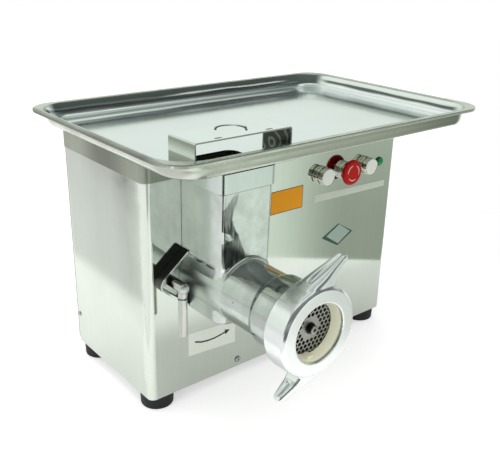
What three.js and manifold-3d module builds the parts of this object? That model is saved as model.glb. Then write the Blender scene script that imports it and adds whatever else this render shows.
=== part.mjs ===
// Electric meat grinder: a stainless box with a geared motor inside, a cast grinding head bolted
// to its front, a loading tray on top with a hand guard over the mouth, and push buttons.
// Millimetres. x runs along the front panel, y towards the back, z up. While modelling, the zero
// point is the casing's front left bottom corner; the last lines move it under the whole machine.
import * as THREE from 'three';
import { mergeVertices } from 'three/addons/utils/BufferGeometryUtils.js';
import Module from 'manifold-3d';

const wasm = await Module();
wasm.setup();

// ---------- driving dimensions ----------
const gap = 0.3;                 // clearance between pieces that seat on each other
const sheet = 2;                 // stainless sheet of the casing, skirt and hood

const casingWidth = 490;
const casingDepth = 226;
const casingHeight = 350;
const casingEdge = 10;           // bend radius of the casing's upright edges
const rearFlange = 16;           // return flanges that carry the rear cover

const skirtDrop = 25;            // how far the top frame's skirt hangs over the casing
const skirtAir = 0.5;            // air between skirt and casing

const footRadius = 25;
const footNeck = 21;             // inside the casing's bottom edge
const footHeight = 22;
const footInset = 26;            // foot axis in from each side of the casing
const footStud = 4;

const trayWidth = 600;           // over the lip
const trayLength = 400;
const trayDepth = 27;            // lip above the tray's underside
const traySheet = 1.5;
const trayCorner = 42;
const trayLip = 9;
const trayLipDrop = 3;
const trayWallRun = 5;           // how far the wall leans out
const trayBend = 8;
const trayLeftOverhang = 30;
const trayFrontOverhang = 109;

const headX = 97;                // axis of the grinding head
const headZ = 185.5;
const throatWidth = 84;
const throatTaper = 4;           // the throat narrows by this at its foot
const throatFront = 89;          // front face, measured out from the casing
const throatBack = 3;            // clear of the skirt at the top
const panelGap = 0.5;            // the head and the strap stand this close to the panel
const throatWall = 5;
const throatCorner = 7;
const throatBottom = 142;
const cheekHeight = 92;          // swelling on the left face where the barrel passes
const cheekBulge = 5;

const barrelRadius = 44.6;
const boreRadius = 36.3;
const plateRadius = 41;
const plateThickness = 6;
const plateFront = 212;          // front face of the perforated plate, out from the casing
const plateHole = 2.3;
const platePitch = 6.4;
const plateBore = 8.6;
const plateProud = 3;            // the plate stands this far out of the muzzle
const muzzleRadius = 48.5;
const muzzleLength = 50;
const neckRadius = 34;
const neckLength = 16;           // reach of the neck behind the casing's front face
const beadRadius = 3;
const knifeLength = 12;
const bushRadius = 26;
const journalRadius = 20;
const coreRadius = 15;
const flightTurns = 3;
const squareStud = 14;
const pinRadius = 5.8;
const pinFront = 220;
const tangLength = 14;
const tangThickness = 12;
const ringThroat = 34;

const nutRadius = 59;
const nutLength = 35.5;
const nutFront = 229.5;
const nutLip = 4.5;
const nutMouth = 38.8;
const nutChamfer = 3.8;
const threadAir = 0.5;
const armReach = 100;            // tip of a nut arm from the axis
const armLean = 33.5;            // degrees that an arm leans up from the horizontal
const armInner = 36.2;           // its inner edge from the axis, square to its length
const armOuter = 46.4;           // its outer edge at the tip
const armRoot = 55;              // its outer edge where it leaves the rim
const armTipRound = 4.6;
const armThickness = 16;
const armSetBack = 9.5;          // its front, behind the nut's front

const clampX = 30.6;
const clampZ = 189;
const clampRadius = 7.5;
const clampReach = 46;
const handleRadius = 6.3;
const handleLength = 72;
const handleJoint = 14;          // where the bar screws into the spindle's stub, below the axis
const strapWidth = 16.5;
const strapSheet = 3;
const strapHalf = 38;            // rise of the strap's lower end, for its seat on the swelling

const hoodWidth = 153;
const hoodDepth = 56;
const hoodHeight = 41;
const hoodFront = 82.7;
const hoodBend = 4;
const bowSpan = 42;
const bowRise = 8;
const bowWidth = 9;
const bowSheet = 2;
const bowSlotLeft = 38;          // hood slot's middle, left of the head's axis
const bowSlotRight = 42;
const bowSlotHalf = 5.5;
const bowSlotWidth = 4;
const bowTurn = -37;

const buttonZ = 282.5;
const buttonRowInset = 173;      // start button's axis in from the casing's right side
const firstButtonX = casingWidth - buttonRowInset;
const buttonPitch = 49;
const buttonRadius = 14.6;
const buttonHole = 11.2;
const buttonTravel = 3;
const mushroomRadius = 20.4;
const mushroomTravel = 5;
const pushBezel = 4.5;           // how far a bezel stands out of the panel
const stopBezel = 7;
const bezelWall = 2;
const bezelFloor = 0.9;          // what is left of the bezel behind its recess
const barrelDepth = 12;
const stemRadius = 8;
const blockHalf = 14;
const blockDepth = 28;
const neckAir = 0.4;
const mushroomFront = 22;
const hubRadius = 4;
const lampX = firstButtonX + 2.725 * buttonPitch;
const lampRadius = 7.5;

const motorTeeth = 14;
const counterTeeth = 40;
const counterPinionTeeth = 16;
const outputTeeth = 40;
const fineModule = 2.5;
const coarseModule = 3;
const shaftRadius = 15;
const motorRadius = 70;
const gearboxWall = 8;
const gearboxDepth = 70;
const gearRoom = 4;
const coverThickness = 8;
const bearingOuter = 24;
const counterShaftRadius = 10;
const motorShaft = 8;
const statorLength = 96;
const rotorInset = 18;           // rotor's outside, in from the motor's
const rotorFrontSet = 14;        // rotor's front, behind the stator's
const rotorBackSet = 12;
const bellRim = 14;              // width of the end bell's sloping rim
const bellDepth = 9;
const cradleSheet = 4;
const cradleFoot = 30;

const screwShank = 2;
const screwHead = 4.5;
const screwHeadHeight = 2.4;
const screwLength = 8;
const screwMargin = 9;           // rear screws in from the casing's sides
const lowScrewZ = 30;
const highScrewDrop = 54;        // upper rear screws below the casing's top
const groundX = 157;
const groundZ = 12.7;
const leftScrewInset = 12;       // from the rear face
const leftScrewZ = 50;
const rightScrewInset = 14;      // from the front face
const rightScrewZ = 176;

const slotCount = 8;
const slotPitch = 16;
const slotWidth = 6;
const slotLength = 150;
const slotBottom = 140;
const coverMargin = 3;
const glandInset = 90;           // from the casing's right side
const glandZ = 60;
const glandRadius = 8;

const contactorInset = 90;       // contactor's middle, from the casing's right side
const contactorWidth = 46;
const contactorDepth = 75;
const contactorHeight = 86;
const capacitorInset = 40;
const capacitorRadius = 20;
const capacitorHeight = 80;
const switchgearY = 107;         // middle of the contactor and the capacitor

// ---------- finishes ----------
const finish = (color, metalness, roughness) =>
  new THREE.MeshStandardMaterial({ color, metalness, roughness });
const mirrorSteel = finish(0xcfd2cf, 1, 0.08);
const satinSteel = finish(0xc4c6c3, 1, 0.35);
const castMetal = finish(0xd2d3d0, 1, 0.22);
const toolSteel = finish(0x8e9090, 1, 0.3);
const zincSteel = finish(0xa9aca8, 1, 0.45);
const blackRubber = finish(0x151515, 0, 0.85);
const ivoryPlastic = finish(0xd9d2bd, 0, 0.5);
const redPlastic = finish(0xc01822, 0, 0.35);
const greenLens = finish(0x0f6b3a, 0, 0.15);
const blackPlastic = finish(0x1d1f20, 0, 0.5);
const greyPaint = finish(0x5c6468, 0.2, 0.5);
const brass = finish(0xb08d4a, 1, 0.35);

// ---------- solids ----------
const group = new THREE.Group();

/** Weld a geometry's corners into one closed solid whose faces point out. */
function solid(geometry) {
  const bare = geometry.clone();
  for (const name of Object.keys(bare.attributes)) {
    if (name !== 'position') bare.deleteAttribute(name);
  }
  const welded = mergeVertices(bare, 1e-4);
  const position = welded.attributes.position;
  const corners = [];
  let volume = 0;
  const [a, b, c] = [new THREE.Vector3(), new THREE.Vector3(), new THREE.Vector3()];
  for (let i = 0; i < welded.index.count; i += 3) {
    const [p, q, r] = [0, 1, 2].map((k) => welded.index.getX(i + k));
    if (p === q || q === r || r === p) continue;
    corners.push(p, q, r);
    a.fromBufferAttribute(position, p);
    b.fromBufferAttribute(position, q);
    c.fromBufferAttribute(position, r);
    volume += a.dot(b.cross(c));
  }
  if (volume < 0) corners.reverse();
  return new wasm.Manifold(new wasm.Mesh({
    numProp: 3,
    vertProperties: new Float32Array(position.array),
    triVerts: new Uint32Array(corners),
  }));
}

/** Add a finished solid to the machine as a named mesh. */
function add(name, manifold, material) {
  const data = manifold.getMesh();
  const geometry = new THREE.BufferGeometry();
  geometry.setAttribute('position', new THREE.BufferAttribute(new Float32Array(data.vertProperties), 3));
  geometry.setIndex(new THREE.BufferAttribute(new Uint32Array(data.triVerts), 1));
  geometry.computeVertexNormals();
  const mesh = new THREE.Mesh(geometry, material);
  mesh.name = name;
  group.add(mesh);
  return mesh;
}

function block(x0, x1, y0, y1, z0, z1) {
  const geometry = new THREE.BoxGeometry(x1 - x0, y1 - y0, z1 - z0);
  geometry.translate((x0 + x1) / 2, (y0 + y1) / 2, (z0 + z1) / 2);
  return solid(geometry);
}

/** Closed outline of a rectangle with four corner radii: front left, front right, back right, back left. */
function roundedOutline(x0, x1, y0, y1, radii, steps = 4) {
  const centres = [[x0, y0, 1, 1, Math.PI], [x1, y0, -1, 1, 1.5 * Math.PI],
    [x1, y1, -1, -1, 0], [x0, y1, 1, -1, 0.5 * Math.PI]];
  const points = [];
  centres.forEach(([x, y, sx, sy, start], corner) => {
    const r = Math.max(radii[corner], 0.01);
    for (let i = 0; i <= steps; i += 1) {
      const angle = start + (i / steps) * (Math.PI / 2);
      points.push(new THREE.Vector2(x + sx * r + r * Math.cos(angle), y + sy * r + r * Math.sin(angle)));
    }
  });
  return points;
}

/** Extrude an outline given in x, y up from z0 to z1. */
function prism(points, z0, z1) {
  const shape = new THREE.Shape(points);
  const geometry = new THREE.ExtrudeGeometry(shape, { depth: z1 - z0, bevelEnabled: false });
  geometry.translate(0, 0, z0);
  return solid(geometry);
}

/** Extrude an outline given in x, z along y from y0 to y1. */
function prismY(points, y0, y1) {
  const shape = new THREE.Shape(points);
  const geometry = new THREE.ExtrudeGeometry(shape, { depth: y1 - y0, bevelEnabled: false });
  geometry.rotateX(Math.PI / 2);
  geometry.translate(0, y1, 0);
  return solid(geometry);
}

/** Turn a closed profile of [radius, y] about an axis along y. */
function turned(x, z, profile, segments = 24) {
  const points = [...profile, profile[0]].map(([r, y]) => new THREE.Vector2(r, y));
  const geometry = new THREE.LatheGeometry(points, segments);
  geometry.translate(x, 0, z);
  return solid(geometry);
}

/** Turn a closed profile of [radius, z] about an upright axis. */
function turnedUp(x, y, profile, segments = 20) {
  const points = [...profile, profile[0]].map(([r, z]) => new THREE.Vector2(r, z));
  const geometry = new THREE.LatheGeometry(points, segments);
  geometry.rotateX(Math.PI / 2);
  geometry.translate(x, y, 0);
  return solid(geometry);
}

/** A round bar along y. */
function rod(x, z, radius, y0, y1, segments = 18) {
  return turned(x, z, [[0, y0], [radius, y0], [radius, y1], [0, y1]], segments);
}

/** A washer or tube along y. */
function tube(x, z, inner, outer, y0, y1, segments = 18) {
  return turned(x, z, [[inner, y0], [outer, y0], [outer, y1], [inner, y1]], segments);
}

/** Skin a row of loops with equal counts of points: capped at its ends, or closed into a ring. */
function loft(loops, ring = false) {
  const count = loops[0].length;
  const positions = loops.flat().flatMap((p) => [p.x, p.y, p.z]);
  const index = [];
  const spans = ring ? loops.length : loops.length - 1;
  for (let i = 0; i < spans; i += 1) {
    for (let j = 0; j < count; j += 1) {
      const a = i * count + j;
      const b = i * count + ((j + 1) % count);
      const c = ((i + 1) % loops.length) * count + ((j + 1) % count);
      const d = ((i + 1) % loops.length) * count + j;
      index.push(a, b, c, a, c, d);
    }
  }
  if (!ring) {
    const last = (loops.length - 1) * count;
    for (let j = 1; j < count - 1; j += 1) {
      index.push(0, j + 1, j);
      index.push(last, last + j, last + j + 1);
    }
  }
  const geometry = new THREE.BufferGeometry();
  geometry.setAttribute('position', new THREE.Float32BufferAttribute(positions, 3));
  geometry.setIndex(index);
  return solid(geometry);
}

/** Lift an outline in x, y to height z. */
const loopAt = (points, z) => points.map((p) => new THREE.Vector3(p.x, p.y, z));

// ---------- casing: folded front and sides, with the rear flanges ----------
const panelBack = sheet;                         // inner face of the front panel
const topPlateTop = casingHeight + gap + sheet;  // face that the tray lies on
const skirtBottom = topPlateTop - skirtDrop;
const skirtFace = skirtAir + sheet;              // skirt's outer face, out from the casing

const highScrewZ = casingHeight - highScrewDrop;
const rearScrews = [
  ['rear_screw_low_left', screwMargin, lowScrewZ],
  ['rear_screw_low_right', casingWidth - screwMargin, lowScrewZ],
  ['rear_screw_high_left', screwMargin, highScrewZ],
  ['rear_screw_high_right', casingWidth - screwMargin, highScrewZ],
];
const sideScrews = [
  ['side_screw_left', -1, casingDepth - leftScrewInset, leftScrewZ],
  ['side_screw_right', 1, rightScrewInset, rightScrewZ],
];

/** Pan-head screw along y; its head seats on y = 0 from the negative side. */
function panScrew() {
  return turned(0, 0, [
    [0, -screwHeadHeight], [screwHead * 0.6, -screwHeadHeight], [screwHead, -screwHeadHeight * 0.45],
    [screwHead, -gap / 2], [screwShank, -gap / 2], [screwShank, screwLength], [0, screwLength]], 10);
}

function casingWrap() {
  const edges = [casingEdge, casingEdge, casingEdge, casingEdge];
  const inner = edges.map((r) => r - sheet);
  let wrap = prism(roundedOutline(0, casingWidth, 0, casingDepth, edges), 0, casingHeight);
  const hollow = roundedOutline(sheet, casingWidth - sheet, sheet, casingDepth - sheet, inner);
  wrap = wrap.subtract(prism(hollow, -1, casingHeight + 1));
  wrap = wrap.subtract(block(rearFlange, casingWidth - rearFlange, casingDepth - sheet - 1, casingDepth + 1,
    -1, casingHeight + 1));
  wrap = wrap.subtract(rod(headX, headZ, neckRadius + gap, -1, sheet + 1, 36));
  wrap = wrap.subtract(rod(clampX, clampZ, clampRadius + gap, -1, sheet + 1, 16));
  for (let i = 0; i < 3; i += 1) {
    wrap = wrap.subtract(rod(firstButtonX + i * buttonPitch, buttonZ, buttonHole, -1, sheet + 1));
  }
  wrap = wrap.subtract(rod(lampX, buttonZ, lampRadius - 2 + gap, -1, sheet + 1, 16));
  wrap = wrap.subtract(rod(groundX, groundZ, screwShank + gap, -1, sheet + 1, 12));
  for (const [, x, z] of rearScrews) {
    wrap = wrap.subtract(rod(x, z, screwShank + gap, casingDepth - sheet - 1, casingDepth + 1, 12));
  }
  for (const [, side, y, z] of sideScrews) {
    const x = side < 0 ? 0 : casingWidth;
    const hole = rod(0, 0, screwShank + gap, -2 * sheet, 2 * sheet, 12).rotate([0, 0, 90]);
    wrap = wrap.subtract(hole.translate([x, y, z]));
  }
  return wrap;
}

add('casing_wrap', casingWrap(), mirrorSteel);

// ---------- top frame: shallow lid whose skirt hangs over the casing ----------
function topFrame() {
  const face = skirtFace;
  const corner = casingEdge + face;
  const outer = roundedOutline(-face, casingWidth + face, -face, casingDepth + face, Array(4).fill(corner));
  const inner = roundedOutline(-skirtAir, casingWidth + skirtAir, -skirtAir, casingDepth + skirtAir,
    Array(4).fill(corner - sheet));
  return prism(outer, skirtBottom, topPlateTop).subtract(prism(inner, skirtBottom - 1, topPlateTop - sheet));
}
add('top_frame', topFrame(), mirrorSteel);

// ---------- rear cover with louvre slots and the cable gland ----------
const coverFront = casingDepth + gap;
const coverBack = coverFront + sheet;
const glandX = casingWidth - glandInset;

function rearCover() {
  let cover = block(coverMargin, casingWidth - coverMargin, coverFront, coverBack, sheet, skirtBottom - 1);
  for (let i = 0; i < slotCount; i += 1) {
    const z = slotBottom + i * slotPitch;
    const x = casingWidth * 0.52 - slotLength / 2;
    const ends = Array(4).fill(slotWidth / 2);
    cover = cover.subtract(prismY(roundedOutline(x, x + slotLength, z, z + slotWidth, ends, 2),
      coverFront - 1, coverBack + 1));
  }
  cover = cover.subtract(rod(glandX, glandZ, glandRadius + gap, coverFront - 1, coverBack + 1, 24));
  for (const [, x, z] of rearScrews) {
    cover = cover.subtract(rod(x, z, screwShank + gap, coverFront - 1, coverBack + 1, 12));
  }
  return cover;
}
add('rear_cover', rearCover(), satinSteel);
for (const [name, x, z] of rearScrews) {
  add(name, panScrew().rotate([0, 0, 180]).translate([x, coverBack + gap / 2, z]), zincSteel);
}
for (const [name, side, y, z] of sideScrews) {
  const x = side < 0 ? -gap / 2 : casingWidth + gap / 2;
  add(name, panScrew().rotate([0, 0, side < 0 ? -90 : 90]).translate([x, y, z]), zincSteel);
}
add('ground_screw', panScrew().translate([groundX, -gap / 2, groundZ]), zincSteel);

function cableGland() {
  const flangeRadius = glandRadius * 1.55;
  return turned(glandX, glandZ, [
    [4, coverFront - 12], [glandRadius, coverFront - 12], [glandRadius, coverBack + gap],
    [flangeRadius, coverBack + gap], [flangeRadius, coverBack + 7], [glandRadius + 1, coverBack + 9],
    [glandRadius - 1, coverBack + 16], [4, coverBack + 16]], 18);
}
add('cable_gland', cableGland(), blackPlastic);

// ---------- base plate and feet ----------
const feet = [
  ['foot_front_left', footInset, footInset], ['foot_front_right', casingWidth - footInset, footInset],
  ['foot_rear_left', footInset, casingDepth - footInset],
  ['foot_rear_right', casingWidth - footInset, casingDepth - footInset],
];
const baseBottom = sheet;
const baseTop = baseBottom + sheet;
const insideEdge = sheet + gap;

function basePlate() {
  const outline = roundedOutline(insideEdge, casingWidth - insideEdge, insideEdge, casingDepth - insideEdge,
    Array(4).fill(casingEdge - sheet));
  let plate = prism(outline, baseBottom, baseTop);
  for (const [, x, y] of feet) {
    plate = plate.subtract(turnedUp(x, y, [
      [0, 0], [footStud + gap, 0], [footStud + gap, baseTop + 1], [0, baseTop + 1]], 16));
  }
  return plate;
}
add('base_plate', basePlate(), zincSteel);

for (const [name, x, y] of feet) {
  const top = baseBottom - gap;
  add(name, turnedUp(x, y, [
    [0, -footHeight], [footRadius - 3, -footHeight], [footRadius - 1.5, -footHeight + 2],
    [footRadius, -gap], [footNeck, -gap], [footNeck, top], [footStud, top],
    [footStud, baseTop + 9], [0, baseTop + 9]], 20), blackRubber);
}

// ---------- grinding head: one casting of throat, barrel, muzzle and neck ----------
const throatLeft = headX - throatWidth / 2 + 1;
const throatRight = throatLeft + throatWidth;
const throatTop = topPlateTop;
const muzzleFront = plateFront - plateProud;
const muzzleBack = muzzleFront - muzzleLength;
const plateBack = plateFront - plateThickness;
const knifeBack = plateBack - gap - knifeLength;
const counterbore = knifeBack - 1;               // where the bore widens for knife and plate
const boreBack = throatBack + 5;
const bushLength = neckLength + boreBack - 2;

function throatOutline(inset, taper) {
  const front = Math.max(throatCorner - inset, 1);
  return roundedOutline(
    throatLeft + inset, throatRight - inset - taper, -throatFront + inset, -throatBack - inset,
    [front, front, 1, 1]);
}

/** How far the left face swells at a rise above or below the barrel's axis. */
function cheekSwell(rise) {
  return cheekBulge * (0.5 + 0.5 * Math.cos((2 * Math.PI * rise) / cheekHeight));
}

function headCasting() {
  const footRound = 5;
  let body = loft([
    loopAt(throatOutline(footRound, throatTaper), throatBottom),
    loopAt(throatOutline(footRound * 0.3, throatTaper), throatBottom + footRound * 0.3),
    loopAt(throatOutline(0, throatTaper), throatBottom + footRound),
    loopAt(throatOutline(0, 0), throatTop),
  ]);
  // swelling of the left face, rounded off at the front like the throat
  const cheek = [];
  const steps = 14;
  for (let i = 0; i <= steps; i += 1) {
    const rise = cheekHeight * (i / steps - 0.5);
    cheek.push(new THREE.Vector2(throatLeft - cheekSwell(rise), headZ - rise));
  }
  cheek.push(new THREE.Vector2(headX, headZ - cheekHeight / 2));
  cheek.push(new THREE.Vector2(headX, headZ + cheekHeight / 2));
  const plan = roundedOutline(
    throatLeft - cheekBulge, headX + 10, -throatFront, -panelGap, [throatCorner, 1, 1, 1]);
  body = body.add(prismY(cheek, -throatFront, -panelGap)
    .intersect(prism(plan, throatBottom + 1, headZ + cheekHeight)));
  // pad that closes the throat's back up to the panel, below the skirt
  const padOutline = (taper) => roundedOutline(
    throatLeft, throatRight - taper, -throatBack - 5, -panelGap, [1, 1, 0.5, 0.5]);
  const padTop = skirtBottom - 1;
  const padTaper = (throatTaper * (throatTop - padTop)) / (throatTop - throatBottom - footRound);
  body = body.add(loft([
    loopAt(padOutline(throatTaper), throatBottom + footRound), loopAt(padOutline(padTaper), padTop)]));
  // barrel, the fillet up to the muzzle, and the threaded muzzle
  body = body.add(turned(headX, headZ, [
    [0, -muzzleFront], [muzzleRadius - 1, -muzzleFront], [muzzleRadius, -muzzleFront + 1],
    [muzzleRadius, -muzzleBack], [barrelRadius + 2, -muzzleBack + 3.5], [barrelRadius + 0.6, -muzzleBack + 7],
    [barrelRadius, -muzzleBack + 11], [barrelRadius, -throatBack - 20], [0, -throatBack - 20]], 52));
  // bead round the upper half of the barrel's root
  const bead = [];
  for (let i = 0; i < 8; i += 1) {
    const angle = (i / 8) * 2 * Math.PI;
    bead.push([
      barrelRadius + 1.6 + beadRadius * Math.cos(angle),
      -throatFront - 1.6 + beadRadius * Math.sin(angle)]);
  }
  const reach = 2 * barrelRadius;
  const upper = block(
    headX - reach, headX + reach, -throatFront - 3 * beadRadius, -throatFront + beadRadius,
    headZ + barrelRadius * 0.55, headZ + reach);
  body = body.add(turned(headX, headZ, bead, 64).intersect(upper));
  // neck that plugs into the casing
  body = body.add(rod(headX, headZ, neckRadius, -throatBack - 5, neckLength, 36));
  // passages
  const mouth = throatOutline(throatWall, 0);
  const mouthFoot = throatOutline(throatWall, throatTaper);
  body = body.subtract(loft([loopAt(mouthFoot, headZ + 4), loopAt(mouth, throatTop + 1)]));
  body = body.subtract(turned(headX, headZ, [
    [0, -muzzleFront - 1], [plateRadius + gap, -muzzleFront - 1], [plateRadius + gap, -counterbore],
    [boreRadius, -counterbore], [boreRadius, -boreBack], [0, -boreBack]], 56));
  body = body.subtract(rod(headX, headZ, bushRadius + gap, -boreBack - 1, neckLength + 1, 24));
  return body;
}
add('head_casting', headCasting(), castMetal);

// ---------- rear bush, auger, knife, perforated plate ----------
const rearBush = tube(
  headX, headZ, journalRadius + gap, bushRadius, neckLength - bushLength, neckLength, 24);
add('rear_bush', rearBush, brass);

const augerBack = boreBack + 1;
const augerFront = knifeBack - gap;
const flightRadius = boreRadius - 0.9;

function auger() {
  let screw = turned(headX, headZ, [
    [0, -augerFront], [coreRadius + 5, -augerFront], [coreRadius, -augerFront + 40],
    [coreRadius, -augerBack - 12],
    [flightRadius, -augerBack - 4], [flightRadius, -augerBack], [journalRadius, -augerBack],
    [journalRadius, neckLength - 1], [0, neckLength - 1]], 24);
  // the helical flight, as a bar of trapezoid section wound on the core
  const stepsPerTurn = 12;
  const steps = Math.round(flightTurns * stepsPerTurn);
  const firstY = -augerBack - 8;
  const lastY = -augerFront + 5;
  const loops = [];
  for (let i = 0; i <= steps; i += 1) {
    const angle = (i / stepsPerTurn) * 2 * Math.PI;
    const y = firstY + (lastY - firstY) * (i / steps);
    const section = [[coreRadius - 3, -5], [flightRadius, -2.2], [flightRadius, 2.2], [coreRadius - 3, 5]];
    loops.push(section.map(([r, dy]) => new THREE.Vector3(
      headX + r * Math.cos(angle), y + dy, headZ + r * Math.sin(angle))));
  }
  screw = screw.add(loft(loops));
  const half = squareStud / 2;
  screw = screw.add(block(
    headX - half, headX + half, -plateBack + gap, -augerFront + 1, headZ - half, headZ + half));
  screw = screw.add(turned(headX, headZ, [
    [0, -pinFront + 2.5], [1.6, -pinFront], [pinRadius - 0.8, -pinFront], [pinRadius, -pinFront + 0.8],
    [pinRadius, -plateBack + 1], [0, -plateBack + 1]], 24));
  return screw.add(block(headX - tangThickness / 2, headX + tangThickness / 2, neckLength - 2,
    neckLength + tangLength, headZ - journalRadius * 0.6, headZ + journalRadius * 0.6));
}
add('auger', auger(), castMetal);

function knife() {
  const blades = [];
  const tip = plateRadius - 2;
  const hub = 14;
  for (let i = 0; i < 4; i += 1) {
    for (const [radius, degrees] of [[hub, -26], [tip, -9], [tip, 12], [hub + 5, 24], [hub, 40]]) {
      const angle = ((i * 90 + degrees + 20) * Math.PI) / 180;
      blades.push(new THREE.Vector2(headX + radius * Math.cos(angle), headZ + radius * Math.sin(angle)));
    }
  }
  const half = squareStud / 2 + gap;
  const socket = block(
    headX - half, headX + half, -plateBack - 1, -knifeBack + 1, headZ - half, headZ + half);
  return prismY(blades, -plateBack + gap, -knifeBack).subtract(socket);
}
add('knife', knife(), toolSteel);

function perforatedPlate() {
  const outline = [];
  const rim = 64;
  for (let i = 0; i < rim; i += 1) {
    const angle = (i / rim) * 2 * Math.PI;
    outline.push(new THREE.Vector2(
      headX + plateRadius * Math.cos(angle), headZ + plateRadius * Math.sin(angle)));
  }
  const shape = new THREE.Shape(outline);
  const circle = (x, z, radius, segments) => {
    const hole = new THREE.Path();
    for (let i = 0; i < segments; i += 1) {
      const angle = (-i / segments) * 2 * Math.PI;
      const point = [x + radius * Math.cos(angle), z + radius * Math.sin(angle)];
      if (i === 0) hole.moveTo(...point);
      else hole.lineTo(...point);
    }
    hole.closePath();
    return hole;
  };
  shape.holes.push(circle(headX, headZ, plateBore, 24));
  const row = platePitch * Math.sqrt(0.75);
  const rows = Math.ceil(plateRadius / row);
  for (let j = -rows; j <= rows; j += 1) {
    for (let i = -rows; i <= rows; i += 1) {
      const x = (i + (j % 2 === 0 ? 0 : 0.5)) * platePitch;
      const z = j * row;
      const reach = Math.hypot(x, z);
      if (reach < plateBore + plateHole + 3 || reach > plateRadius - plateHole - 3.5) continue;
      shape.holes.push(circle(headX + x, headZ + z, plateHole, 6));
    }
  }
  const geometry = new THREE.ExtrudeGeometry(shape, { depth: plateThickness, bevelEnabled: false });
  geometry.rotateX(Math.PI / 2);
  geometry.translate(0, -plateBack, 0);
  return solid(geometry);
}
add('perforated_plate', perforatedPlate(), toolSteel);

// ---------- thrust ring and ring nut ----------
const nutBack = nutFront - nutLength;
const nutBore = muzzleRadius + threadAir;
const lipBack = nutFront - nutLip;
const ringFront = lipBack - gap;
const ringBack = plateFront + gap;

function thrustRing() {
  let ring = turned(headX, headZ, [
    [nutMouth - 0.5, -ringFront], [nutBore - 2, -ringFront],
    [nutBore - 2, -ringBack], [ringThroat, -ringBack]], 56);
  const lugTop = headZ - ringThroat + 3;
  const lug = block(headX - 12, headX - 2, -ringFront + 2, -ringBack, lugTop - 5, lugTop);
  return ring.add(lug);
}
add('thrust_ring', thrustRing(), ivoryPlastic);

/** One cast arm, its outer edge running on from the rim and its tip round. */
function nutArm() {
  const lean = (armLean * Math.PI) / 180;
  const tip = Math.sqrt(armReach ** 2 - armOuter ** 2);
  const place = (along, off) => new THREE.Vector2(
    headX + along * Math.cos(lean) - off * Math.sin(lean),
    headZ + along * Math.sin(lean) + off * Math.cos(lean));
  const leave = Math.sqrt(nutRadius ** 2 - armRoot ** 2);
  const outline = [place(0, armRoot - 8), place(leave - 1.5, armRoot - 0.2)];
  for (let i = 0; i <= 6; i += 1) {
    const angle = (0.46 - i / 6) * Math.PI;
    const middle = i < 3 ? armOuter - armTipRound : armInner + armTipRound;
    outline.push(place(
      tip - armTipRound + armTipRound * Math.cos(angle), middle + armTipRound * Math.sin(angle)));
  }
  outline.push(place(nutRadius - 3, armInner), place(nutRadius - 6.5, armInner - 1.2),
    place(nutRadius - 8.5, armInner - 4.5), place(nutRadius - 11, armInner - 14), place(0, armInner - 14));
  const front = nutFront - armSetBack;
  return prismY(outline, -front, -front + armThickness);
}

function ringNut() {
  const chamferBack = nutFront - nutChamfer;
  let nut = turned(headX, headZ, [
    [nutMouth, -nutFront], [nutRadius - nutChamfer, -nutFront], [nutRadius, -chamferBack],
    [nutRadius, -nutBack - 1.2],
    [nutRadius - 1.2, -nutBack], [nutBore, -nutBack], [nutBore, -lipBack], [nutMouth, -lipBack]], 60);
  const core = rod(headX, headZ, nutBore + 2, -nutFront - 1, -nutBack + 1, 56);
  const arm = nutArm().subtract(core);
  nut = nut.add(arm);
  return nut.add(arm.translate([-headX, 0, -headZ]).rotate([0, 180, 0]).translate([headX, 0, headZ]));
}
add('ring_nut', ringNut(), castMetal);

// ---------- clamp: strap on the head, spindle through the panel, hanging handle ----------
const strapFront = panelGap + strapWidth;
function clampStrap() {
  const outer = strapSheet * 4;
  const inner = outer - strapSheet;
  const apexX = clampX - 8;
  const apexZ = clampZ - 2;
  const splay = (39 * Math.PI) / 180;
  const end = throatLeft - cheekSwell(strapHalf) - gap;
  const leg = (radius, sign) => {
    const x = apexX - radius * Math.sin(splay);
    const z = radius * Math.cos(splay);
    return new THREE.Vector2(end, apexZ + sign * (z + (end - x) * Math.tan(splay)));
  };
  const arc = (radius, from, to) => {
    const points = [];
    for (let i = 0; i <= 8; i += 1) {
      const angle = from + ((to - from) * i) / 8;
      points.push(new THREE.Vector2(apexX + radius * Math.cos(angle), apexZ + radius * Math.sin(angle)));
    }
    return points;
  };
  const start = Math.PI / 2 + splay;
  const finishAngle = 2 * Math.PI - start;
  const outline = [leg(outer, 1), ...arc(outer, start, finishAngle), leg(outer, -1),
    leg(inner, -1), ...arc(inner, finishAngle, start), leg(inner, 1)];
  return prismY(outline, -strapFront, -panelGap);
}
add('clamp_strap', clampStrap(), mirrorSteel);

const bushFlange = clampRadius + 4;
add('clamp_bush', tube(clampX, clampZ, clampRadius + gap, bushFlange, -throatBack + gap, -gap), zincSteel);

const spindleBack = panelBack + 12;
function clampSpindle() {
  const barY = -clampReach + clampRadius;
  let spindle = turned(clampX, clampZ, [
    [0, -clampReach], [clampRadius - 1, -clampReach], [clampRadius, -clampReach + 1],
    [clampRadius, spindleBack],
    [0, spindleBack]], 24);
  // the cam inside the strap, its lobe towards the upper leg
  const lobe = [];
  for (let i = 0; i < 18; i += 1) {
    const angle = (i / 18) * 2 * Math.PI;
    const radius = clampRadius + 0.2 + 3.7 * Math.max(0, Math.cos(angle - (129 * Math.PI) / 180));
    lobe.push(new THREE.Vector2(clampX + radius * Math.cos(angle), clampZ + radius * Math.sin(angle)));
  }
  spindle = spindle.add(prismY(lobe, -throatBack - 5, -throatBack - 1));
  const stub = turnedUp(clampX, barY, [[0, clampZ - handleJoint], [handleRadius - 0.6, clampZ - handleJoint],
    [handleRadius, clampZ - handleJoint + 0.6], [handleRadius, clampZ], [0, clampZ]], 16);
  return spindle.add(stub);
}
add('clamp_spindle', clampSpindle(), castMetal);

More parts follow.
